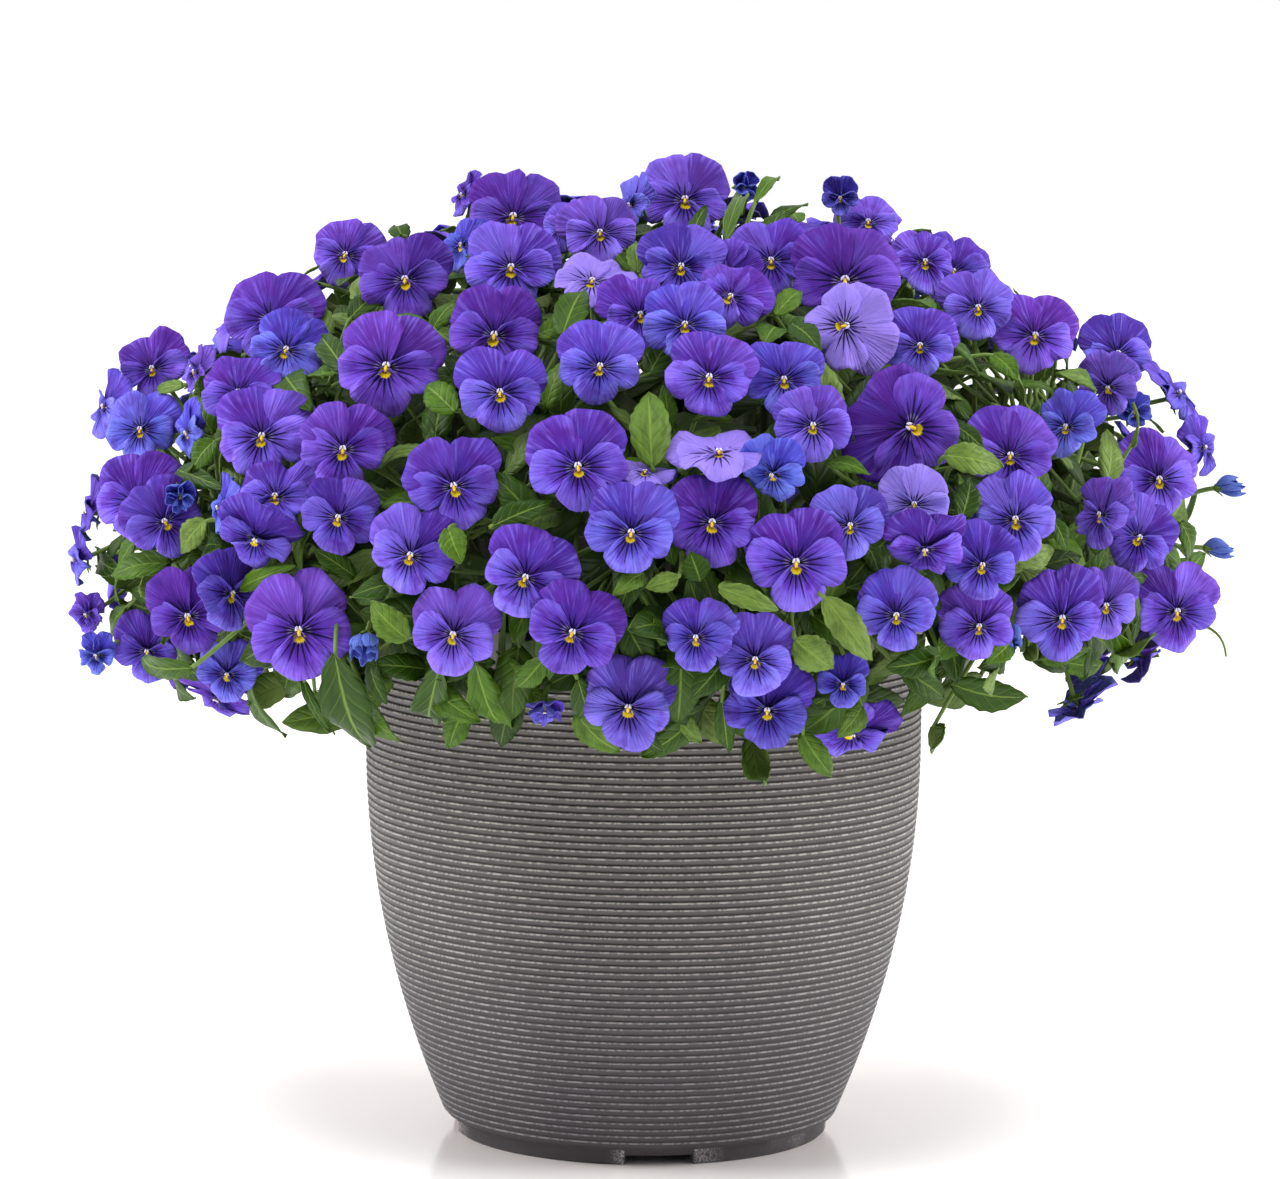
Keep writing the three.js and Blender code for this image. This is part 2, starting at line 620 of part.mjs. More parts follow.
// A leaf that the photograph doesn't show, at one of the places down its stem where leaves grow
function hiddenLeaf(stem, place, attempt) {
  const share = ROOTS.highest - (LEAFY_STRETCH * place) / LEAVES_A_STEM;
  const start = onRoute(stem, share);
  const rise = pointing(onRoute(stem, share - 0.1), start);
  const side = new THREE.Vector3().crossVectors(rise, new THREE.Vector3(1, 0.2, 0)).normalize();
  const turn = place * GOLDEN_TURN + attempt * ATTEMPT_TURN + between(-LEAF_JITTER, LEAF_JITTER);
  const out = side.applyAxisAngle(rise, turn);
  const length = between(HIDDEN_LEAF.least, HIDDEN_LEAF.most);
  const from = along(along(start, out, HIDDEN_PETIOLE.reach), rise, HIDDEN_PETIOLE.rise);
  const to = along(along(from, out, length * HIDDEN_LEAF.out), rise, length * HIDDEN_LEAF.up);
  return leafAt(from, to, rise, length * between(HIDDEN_LEAF.narrow, HIDDEN_LEAF.broad));
}

function placeLeaves(stems, blooms, stalkLines) {
  const discs = blooms.map((bloom) => bloom.disc);
  const clashesOf = (leaf) => {
    const crossed = closestPass(leaf.from, leaf.to, stalkLines) < CLEARANCE;
    return clashes(leaf.disc, discs) + (crossed ? 1 : 0);
  };
  const keep = (leaf, stem) => {
    discs.push(leaf.disc);
    stem.leaves.push(leaf);
  };
  for (const seen of SEEN_LEAVES) {
    const leaf = settle((slide) => seenLeaf(seen, slide), SLIDES, clashesOf);
    keep(leaf, closest(stems, leaf.from));
  }
  for (const stem of stems) {
    for (let i = stem.leaves.length; i < LEAVES_A_STEM; i += 1) {
      for (let attempt = 0; attempt < LEAF_ATTEMPTS; attempt += 1) {
        const leaf = hiddenLeaf(stem, i, attempt);
        if (clashesOf(leaf) === 0) {
          keep(leaf, stem);
          break;
        }
      }
    }
  }
}

// Closed solids from points and triangles, turned so that the faces look out
function closedSolid(points, triangles) {
  const vertProperties = new Float32Array(points.flatMap((point) => point.toArray()));
  const make = (list) => {
    const triVerts = new Uint32Array(list.flat());
    return new wasm.Manifold(new wasm.Mesh({ numProp: 3, vertProperties, triVerts }));
  };
  const made = make(triangles);
  return made.volume() > 0 ? made : make(triangles.map(([a, b, c]) => [a, c, b]));
}

function solidOf(geometry) {
  const bare = new THREE.BufferGeometry();
  const loose = geometry.index ? geometry.toNonIndexed() : geometry;
  bare.setAttribute('position', loose.getAttribute('position'));
  const merged = mergeVertices(bare, 1e-3);
  const vertProperties = merged.getAttribute('position').array;
  const triVerts = new Uint32Array(merged.index.array);
  return new wasm.Manifold(new wasm.Mesh({ numProp: 3, vertProperties, triVerts }));
}

// A profile turned about the upright axis
function turnedSolid(profile) {
  return solidOf(new THREE.LatheGeometry(profile, POT_SIDES).rotateX(Math.PI / 2));
}

function boxSolid(wide, deep, high, middle) {
  return solidOf(new THREE.BoxGeometry(wide, deep, high).translate(middle.x, middle.y, middle.z));
}

// Points round a centre, square to a direction, in the order of a turn about it
function ring(centre, direction, radius, sides, first) {
  const turn = new THREE.Quaternion().setFromUnitVectors(first.axis, direction);
  const points = [];
  for (let i = 0; i < sides; i += 1) {
    const angle = first.angle + (2 * Math.PI * i) / sides;
    const spoke = first.x.clone().multiplyScalar(Math.cos(angle)).addScaledVector(first.y, Math.sin(angle));
    points.push(along(centre, spoke.applyQuaternion(turn), radius));
  }
  return points;
}

// Joins rings of equal size with side faces
function sides(rings, count) {
  const faces = [];
  for (let i = 0; i + 1 < rings; i += 1) {
    for (let k = 0; k < count; k += 1) {
      const a = i * count + k;
      const b = i * count + ((k + 1) % count);
      faces.push([a, b, b + count], [a, b + count, a + count]);
    }
  }
  return faces;
}

// A square stalk along its route; its first stretch stands upright
function stalkSolid(route, grow) {
  const first = { axis: UP, x: RIGHT, y: BACK, angle: Math.PI / 4 };
  const count = 4;
  const points = route.flatMap((place, i) => {
    const before = route[Math.max(i - 1, 0)];
    const after = route[Math.min(i + 1, route.length - 1)];
    const slimming = i === route.length - 1 ? STEM_TIP : 1;
    return ring(place, pointing(before, after), STEM_RADIUS * slimming + grow, count, first);
  });
  const last = points.length;
  const faces = sides(route.length, count);
  faces.push([0, 2, 1], [0, 3, 2], [last - 4, last - 3, last - 2], [last - 4, last - 2, last - 1]);
  return closedSolid(points, faces);
}

// The outline of a bloom by its petals, from the lip round: angle in degrees from its right-hand side,
// reach in widths, and how far the petal stands forward, in mm
const PETAL_OUTLINE = [
  { angle: -68, reach: 0.47, forward: 2.4 },
  { angle: -42, reach: 0.36, forward: 0.6 },
  { angle: -18, reach: 0.5, forward: 1.4 },
  { angle: 10, reach: 0.51, forward: 0.6 },
  { angle: 30, reach: 0.43, forward: -0.6 },
  { angle: 47, reach: 0.58, forward: -2 },
  { angle: 71, reach: 0.67, forward: -2.6 },
  { angle: 90, reach: 0.59, forward: -1.4 },
];
const PLAIN_OUTLINE = [
  { angle: -62, reach: 0.46, forward: 2.4 },
  { angle: -14, reach: 0.5, forward: 1.4 },
  { angle: 22, reach: 0.46, forward: 0.2 },
  { angle: 60, reach: 0.64, forward: -2.4 },
  { angle: 90, reach: 0.6, forward: -1.4 },
];
const PLAIN_BELOW = 30; // a bloom narrower than this, in mm, has the plainer outline
const LEFT_FORWARD = 0.6; // how far the petals of its left half stand forward, of those of its right half
const RIM_GROWTH = 2.5; // a guard's thin rim stands out this many times as far as its faces
const NECK_TURN = THREE.MathUtils.degToRad(12);

function bothSides(half) {
  const others = half.slice(0, -1).reverse();
  return [
    ...half,
    ...others.map(({ angle, reach, forward }) => {
      return { angle: 180 - angle, reach, forward: forward * LEFT_FORWARD };
    }),
  ];
}

// A bloom on its pedicel: two fans of faces that meet at the outline, and a slim neck that runs to the stem
function bloomSolid(bloom, grow) {
  const plain = !bloom.seen || bloom.wide < PLAIN_BELOW;
  const outline = bothSides(plain ? PLAIN_OUTLINE : PETAL_OUTLINE).map(({ angle, reach, forward }) => {
    const turn = THREE.MathUtils.degToRad(angle);
    const radius = reach * bloom.wide;
    const grown = 1 + (grow * RIM_GROWTH) / radius;
    const spoke = along(bloom.across.clone().multiplyScalar(Math.cos(turn)), bloom.top, Math.sin(turn));
    return along(along(bloom.eye, spoke, radius * grown), bloom.facing, THROAT + (forward - THROAT) * grown);
  });
  const neck = along(bloom.eye, bloom.facing, -BLOOM_DEPTH - grow);
  const away = pointing(neck, bloom.root);
  const bend = bloom.facing.clone().negate().add(away).normalize();
  const first = { axis: bloom.facing, x: bloom.across, y: bloom.top, angle: NECK_TURN };
  const radius = STALK_RADIUS + grow;
  const neckRing = ring(neck, bend.clone().negate(), radius, 3, first);
  const rootRing = ring(bloom.root, away.clone().negate(), radius, 3, first);
  const throat = along(bloom.eye, bloom.facing, THROAT + grow);
  const count = outline.length;
  const points = [...outline, ...neckRing, ...rootRing, throat];
  const faces = [];
  for (let i = 0; i < count; i += 1) {
    const next = (i + 1) % count;
    const corner = count + Math.floor((i * 3) / count);
    const nextCorner = count + (Math.floor(((i + 1) * 3) / count) % 3);
    faces.push([points.length - 1, i, next], [next, i, corner]);
    if (nextCorner !== corner) faces.push([next, corner, nextCorner]);
  }
  for (let k = 0; k < 3; k += 1) {
    const a = count + k;
    const b = count + ((k + 1) % 3);
    faces.push([a, a + 3, b + 3], [a, b + 3, b]);
  }
  faces.push([count + 3, count + 5, count + 4]);
  return closedSolid(points, faces);
}

// A square rod round a stalk, which cuts the stalk's way through what it passes
function guardRod(from, to) {
  const first = { axis: UP, x: RIGHT, y: BACK, angle: 0 };
  const direction = pointing(from, to);
  const corner = (STALK_RADIUS + GAP / 2) * Math.SQRT2;
  const points = [from, to].flatMap((end) => ring(end, direction, corner, 4, first));
  return closedSolid(points, [...sides(2, 4), [0, 2, 1], [0, 3, 2], [4, 5, 6], [4, 6, 7]]);
}

function pedicelGuard(bloom) {
  return guardRod(along(bloom.eye, bloom.facing, -BLOOM_DEPTH + 1), bloom.root);
}

// Stations along a toothed leaf: share of its length, share of its half width
const LEAF_STATIONS = [
  { at: 0.28, half: 1 },
  { at: 0.46, half: 0.8 },
  { at: 0.62, half: 0.88 },
];

const LEAF_ARCH = 0.12; // of its length
const LEAF_GROWTH = { rim: 2, tip: 3 }; // how many times as far as its faces the rim of a guard stands out

// The blade arches up between its start and its tip
function onMidrib(leaf, share) {
  const arch = leaf.length * LEAF_ARCH * Math.sin(Math.PI * share);
  return along(mix(leaf.from, leaf.to, share), leaf.normal, arch);
}

// Joins rings of three points with side faces, each split along the diagonal that bows out
function bowedSides(points, rings) {
  const faces = [];
  for (let i = 0; i + 1 < rings; i += 1) {
    const middle = new THREE.Vector3();
    for (const point of points.slice(3 * i, 3 * i + 6)) middle.addScaledVector(point, 1 / 6);
    const bow = (a, b) => mix(points[a], points[b], 0.5).distanceTo(middle);
    for (let k = 0; k < 3; k += 1) {
      const a = 3 * i + k;
      const b = 3 * i + ((k + 1) % 3);
      if (bow(a, b + 3) > bow(b, a + 3)) faces.push([a, b, b + 3], [a, b + 3, a + 3]);
      else faces.push([a, b, a + 3], [b, b + 3, a + 3]);
    }
  }
  return faces;
}

// A leaf with its petiole: three edges, left, right and keel, run from the stem to the tip
function leafSolid(leaf, grow) {
  const half = leaf.wide / 2;
  const { lengthways } = leaf.disc;
  const points = [];
  const addEdges = (place, direction, width, keel) => {
    const turn = new THREE.Quaternion().setFromUnitVectors(lengthways, direction);
    const side = leaf.disc.sideways.clone().applyQuaternion(turn);
    const up = leaf.normal.clone().applyQuaternion(turn);
    points.push(
      along(along(place, side, -width - grow * LEAF_GROWTH.rim), up, grow),
      along(along(place, side, width + grow * LEAF_GROWTH.rim), up, grow),
      along(place, up, -keel - grow),
    );
  };
  const away = pointing(leaf.root, leaf.from);
  addEdges(leaf.root, away, STALK_RADIUS, STALK_RADIUS);
  addEdges(leaf.from, lengthways.clone().add(away).normalize(), STALK_RADIUS, LEAF_KEEL);
  for (const station of LEAF_STATIONS) {
    addEdges(onMidrib(leaf, station.at), lengthways, half * station.half, LEAF_KEEL);
  }
  points.push(along(leaf.to, lengthways, grow * LEAF_GROWTH.tip));
  const faces = bowedSides(points, LEAF_STATIONS.length + 2);
  const tip = points.length - 1;
  for (let k = 0; k < 3; k += 1) faces.push([tip - 3 + k, tip - 3 + ((k + 1) % 3), tip]);
  faces.push([0, 2, 1]);
  return closedSolid(points, faces);
}

// What holds a leaf together: its petiole and its midrib as far as the last station
function petioleGuard(leaf) {
  const [near, , far] = LEAF_STATIONS;
  const places = [leaf.root, leaf.from, onMidrib(leaf, near.at), onMidrib(leaf, far.at)];
  return wasm.Manifold.union(places.slice(1).map((place, i) => guardRod(places[i], place)));
}

function touches(a, b) {
  const one = a.boundingBox();
  const two = b.boundingBox();
  return [0, 1, 2].every((i) => one.min[i] < two.max[i] && two.min[i] < one.max[i]);
}

// The repeats of all the stems, with a slightly larger guard round each, and a guard round its stalk alone
function repeatsOf(stems) {
  const repeats = [];
  stems.forEach((stem, owner) => {
    for (const bloom of stem.blooms) {
      repeats.push({
        owner,
        solid: bloomSolid(bloom, 0),
        guard: bloomSolid(bloom, GAP),
        stalk: pedicelGuard(bloom),
        near: bloom.eye.distanceTo(PHOTO.eye),
      });
    }
  });
  repeats.sort((a, b) => a.near - b.near);
  stems.forEach((stem, owner) => {
    for (const leaf of stem.leaves) {
      const guard = leafSolid(leaf, GAP);
      repeats.push({ owner, solid: leafSolid(leaf, 0), guard, stalk: petioleGuard(leaf) });
    }
  });
  return repeats;
}

// Cuts what would cross a neighbour: a later blade gives way to an earlier one, and every blade to a stalk
function makeRoom(repeats, stemGuards) {
  repeats.forEach((later, j) => {
    for (let i = 0; i < j; i += 1) {
      const earlier = repeats[i];
      if (earlier.owner === later.owner || !touches(earlier.guard, later.guard)) continue;
      if (!earlier.solid.intersect(later.stalk).isEmpty()) {
        earlier.solid = earlier.solid.subtract(later.stalk);
      }
      if (later.solid.intersect(earlier.guard).isEmpty()) continue;
      later.solid = later.solid.subtract(earlier.guard.subtract(later.stalk)).subtract(earlier.stalk);
    }
    stemGuards.forEach((guard, owner) => {
      if (owner === later.owner || !touches(guard, later.solid)) return;
      later.solid = later.solid.subtract(guard);
    });
  });
}

function largestBody(solid) {
  return solid.decompose().reduce((best, part) => (part.volume() > best.volume() ? part : best));
}

// The faces from the largest one on: which side of a solid is its inside can be told best from a large face
function largestFirst(positions, corners) {
  const triangle = new THREE.Triangle();
  const areas = [];
  for (let i = 0; i < corners.length; i += 3) {
    triangle.setFromAttributeAndIndices(positions, ...corners.slice(i, i + 3));
    areas.push(triangle.getArea());
  }
  const start = 3 * areas.indexOf(Math.max(...areas));
  return Uint32Array.from([...corners.slice(start), ...corners.slice(0, start)]);
}

function meshOf(solid, name, material) {
  const { vertProperties, triVerts } = solid.getMesh();
  const geometry = new THREE.BufferGeometry();
  const positions = new THREE.BufferAttribute(vertProperties, 3);
  geometry.setAttribute('position', positions);
  geometry.setIndex(new THREE.BufferAttribute(largestFirst(positions, triVerts), 1));
  geometry.computeVertexNormals();
  const mesh = new THREE.Mesh(geometry, material);
  mesh.name = name;
  return mesh;
}

// Outer radius of the pot's plain wall at a height
function wallRadius(height) {
  const below = Math.max(0, 1 - height / FLARE_HEIGHT);
  return POT_RADIUS - FOOT_FLARE * below ** 2;
}

function potProfile() {
  const outline = [];
  const point = (radius, height) => outline.push(new THREE.Vector2(radius, height));
  point(0, POT_FLOOR - POT_WALL);
  point(FOOT_RING_RADIUS - FOOT_RING_WIDTH, POT_FLOOR - POT_WALL);
  point(FOOT_RING_RADIUS - FOOT_RING_WIDTH, 0);
  point(FOOT_RING_RADIUS - EDGE_ROUNDING, 0);
  point(FOOT_RING_RADIUS, EDGE_ROUNDING);
  point(FOOT_RING_RADIUS, FOOT_RING_HEIGHT);
  const pitch = (RIB_BAND[1] - RIB_BAND[0]) / RIB_COUNT;
  for (let rib = 0; rib < RIB_COUNT; rib += 1) {
    const crest = RIB_BAND[0] + (rib + RIB_SHAPE.crest) * pitch;
    const groove = RIB_BAND[0] + (rib + RIB_SHAPE.groove) * pitch;
    point(wallRadius(crest), crest);
    point(wallRadius(groove) - RIB_RELIEF, groove);
  }
  point(POT_RADIUS, RIB_BAND[1] + 1);
  point(POT_RADIUS, POT_HEIGHT - LIP.height - LIP.slope);
  point(POT_RADIUS + LIP.overhang, POT_HEIGHT - LIP.height);
  point(POT_RADIUS + LIP.overhang, POT_HEIGHT - EDGE_ROUNDING);
  point(POT_RADIUS + LIP.overhang - EDGE_ROUNDING, POT_HEIGHT);
  point(POT_RADIUS - POT_WALL, POT_HEIGHT);
  for (const height of INNER_HEIGHTS) point(innerRadius(height), height);
  point(0, POT_FLOOR);
  return outline;
}

const INNER_HEIGHTS = [190, 115, 55, POT_FLOOR];

function innerRadius(height) {
  return wallRadius(height) - RIB_RELIEF - POT_WALL;
}

function makePot() {
  let pot = turnedSolid(potProfile());
  if (pot.volume() < 0) throw new Error('the profile of the pot runs the wrong way round');
  for (let i = 0; i < NOTCH.count; i += 1) {
    const turn = (i * 2 * Math.PI) / NOTCH.count;
    const cutter = new THREE.BoxGeometry(NOTCH.width, FOOT_RING_WIDTH * 3, NOTCH.height * 2);
    cutter.translate(NOTCH.offset, -FOOT_RING_RADIUS + FOOT_RING_WIDTH / 2, 0).rotateZ(turn);
    pot = pot.subtract(solidOf(cutter));
  }
  for (let i = 0; i < DRAIN.count; i += 1) {
    const turn = ((i + 0.5) * 2 * Math.PI) / DRAIN.count;
    const drill = new THREE.CylinderGeometry(DRAIN.radius, DRAIN.radius, 2 * POT_FLOOR, DRAIN.sides);
    drill.rotateX(Math.PI / 2).translate(DRAIN.ring * Math.cos(turn), DRAIN.ring * Math.sin(turn), POT_FLOOR);
    pot = pot.subtract(solidOf(drill));
  }
  return pot;
}

function makeSoil(stems) {
  const outline = [new THREE.Vector2(0, POT_FLOOR + GAP)];
  for (const height of [...INNER_HEIGHTS].reverse()) {
    outline.push(new THREE.Vector2(innerRadius(height) - GAP, height + (height === POT_FLOOR ? GAP : 0)));
  }
  outline.push(new THREE.Vector2(innerRadius(SOIL_TOP) - GAP, SOIL_TOP), new THREE.Vector2(0, SOIL_TOP));
  let soil = turnedSolid(outline);
  const wide = STEM_RADIUS * Math.SQRT2 + 2 * GAP;
  for (const { foot } of stems) {
    const high = HOLE_DEPTH + 2 * GAP;
    soil = soil.subtract(boxSolid(wide, wide, 2 * high, foot));
  }
  return soil;
}

const FINISH = {
  pot: new THREE.MeshStandardMaterial({ name: 'pot', color: 0x6f6a66, roughness: 0.7, metalness: 0 }),
  soil: new THREE.MeshStandardMaterial({ name: 'soil', color: 0x2b211a, roughness: 0.95, metalness: 0 }),
  leaf: new THREE.MeshStandardMaterial({ name: 'leaf', color: 0x4c6b22, roughness: 0.55, metalness: 0 }),
  petal: new THREE.MeshStandardMaterial({ name: 'petal', color: 0x5b35b0, roughness: 0.6, metalness: 0 }),
};

function numbered(name, index) {
  return `${name}_${String(index + 1).padStart(2, '0')}`;
}

const blooms = placeBlooms();
const leafStarts = SEEN_LEAVES.map((seen) => seenLeaf(seen, 0).from);
const stems = placeStems(placeEnds(blooms, leafStarts));
for (const bloom of blooms) {
  const stem = closest(stems.filter((other) => !other.leafy), bloom.eye);
  stem.blooms.push(bloom);
}
const stalkLines = stems.flatMap((stem) => {
  return linesOf(stem.route).map((line) => Object.assign(line, { owner: stem }));
});
giveRoots(stems, (stem) => stem.blooms, (bloom) => along(bloom.eye, bloom.facing, -BLOOM_DEPTH), stalkLines);
placeLeaves(stems.filter(({ leafy }) => leafy), blooms, stalkLines);
giveRoots(stems, (stem) => stem.leaves, (leaf) => leaf.from, stalkLines);
const standing = stems.filter((stem) => stem.blooms.length + stem.leaves.length > 0);
const repeats = repeatsOf(standing);
makeRoom(repeats, standing.map(({ route }) => stalkSolid(route, GAP)));

const SHORTEST_EDGE = 0.05;
const planter = new THREE.Group();
planter.add(meshOf(makePot(), 'pot', FINISH.pot));
planter.add(meshOf(makeSoil(standing), 'soil', FINISH.soil));
const counts = { spray: 0, leafy_stem: 0 };
standing.forEach((stem, owner) => {
  const grown = repeats.filter((repeat) => repeat.owner === owner).map(({ solid }) => solid);
  const whole = wasm.Manifold.union([stalkSolid(stem.route, 0), ...grown]).simplify(SHORTEST_EDGE);
  const kind = stem.leafy ? 'leafy_stem' : 'spray';
  const finish = stem.leafy ? FINISH.leaf : FINISH.petal;
  planter.add(meshOf(largestBody(whole), numbered(kind, counts[kind]), finish));
  counts[kind] += 1;
});

export default planter;
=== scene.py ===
# A ribbed round planter filled with pansies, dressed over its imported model. Metres, +Z up, the front
# faces -Y. The same rules as in the model's source place every stem, bloom and leaf, in millimetres until
# a mesh is made.

import math
import random

import bpy
import numpy as np
from mathutils import Matrix


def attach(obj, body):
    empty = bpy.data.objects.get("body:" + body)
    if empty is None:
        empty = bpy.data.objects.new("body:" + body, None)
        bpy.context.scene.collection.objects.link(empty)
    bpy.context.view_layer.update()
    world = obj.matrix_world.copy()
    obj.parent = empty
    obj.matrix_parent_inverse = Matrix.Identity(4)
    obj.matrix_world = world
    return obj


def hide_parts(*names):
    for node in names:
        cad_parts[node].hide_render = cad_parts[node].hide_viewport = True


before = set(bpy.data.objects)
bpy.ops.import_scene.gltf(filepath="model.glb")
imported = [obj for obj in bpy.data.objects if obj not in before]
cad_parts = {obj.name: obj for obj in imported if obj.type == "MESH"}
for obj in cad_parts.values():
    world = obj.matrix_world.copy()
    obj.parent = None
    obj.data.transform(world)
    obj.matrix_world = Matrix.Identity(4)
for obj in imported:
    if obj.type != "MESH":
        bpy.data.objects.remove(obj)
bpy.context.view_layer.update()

MM = 0.001

# Driving dimensions of the pot
POT_HEIGHT = 315
POT_RADIUS = 153.5
FOOT_FLARE = 49
FLARE_HEIGHT = 215
FOOT_RING_RADIUS = 104
FOOT_RING_WIDTH = 9
FOOT_RING_HEIGHT = 9
POT_WALL = 3.2
POT_FLOOR = 12
RIB_BAND = (10, 264)
RIB_COUNT = 65
RIB_RELIEF = 1.5
FOOT_RELIEF = 0.5
LIP_OVERHANG = 2
EDGE_ROUNDING = 1.5
POT_SEGMENTS = 108
NOTCH = {"count": 4, "width": 38, "height": 5, "offset": 11}

# Driving dimensions of the planting
SOIL_TOP = 292
GAP = 0.35
HOLE_DEPTH = 26
STEM_RADIUS = 3
STEM_TIP = 0.85
STALK_RADIUS = 1.25
FOOT_SPREAD = 122
BLOOM_DEPTH = 7
THROAT = -1.5
LEAVES_A_STEM = 3
BLOOMS_A_SPRAY = 7
SEEN_LEAVES_A_STEM = 4
HIDDEN_LEAFY_SPOTS = 15
DOME = {"x": 1, "z": 320, "radius": 300, "up": 194, "down": 80, "skirt": 3}


def vector(*values):
    return np.array(values, dtype=float)


# How the photograph was taken: pixels for the lens, millimetres for the rest
IMAGE_WIDTH = 1280
MIDDLE = (640, 589.5)
FOCAL = 4800
ROLL = math.radians(0.64)
PITCH = math.radians(6.03)
EYE = vector(-2.9, -2633, 578)
SENSOR_WIDTH = 36

AHEAD = vector(0, math.cos(PITCH), -math.sin(PITCH))
UPWARDS = vector(0, math.sin(PITCH), math.cos(PITCH))

UP = vector(0, 0, 1)
GOLDEN_TURN = math.pi * (3 - math.sqrt(5))

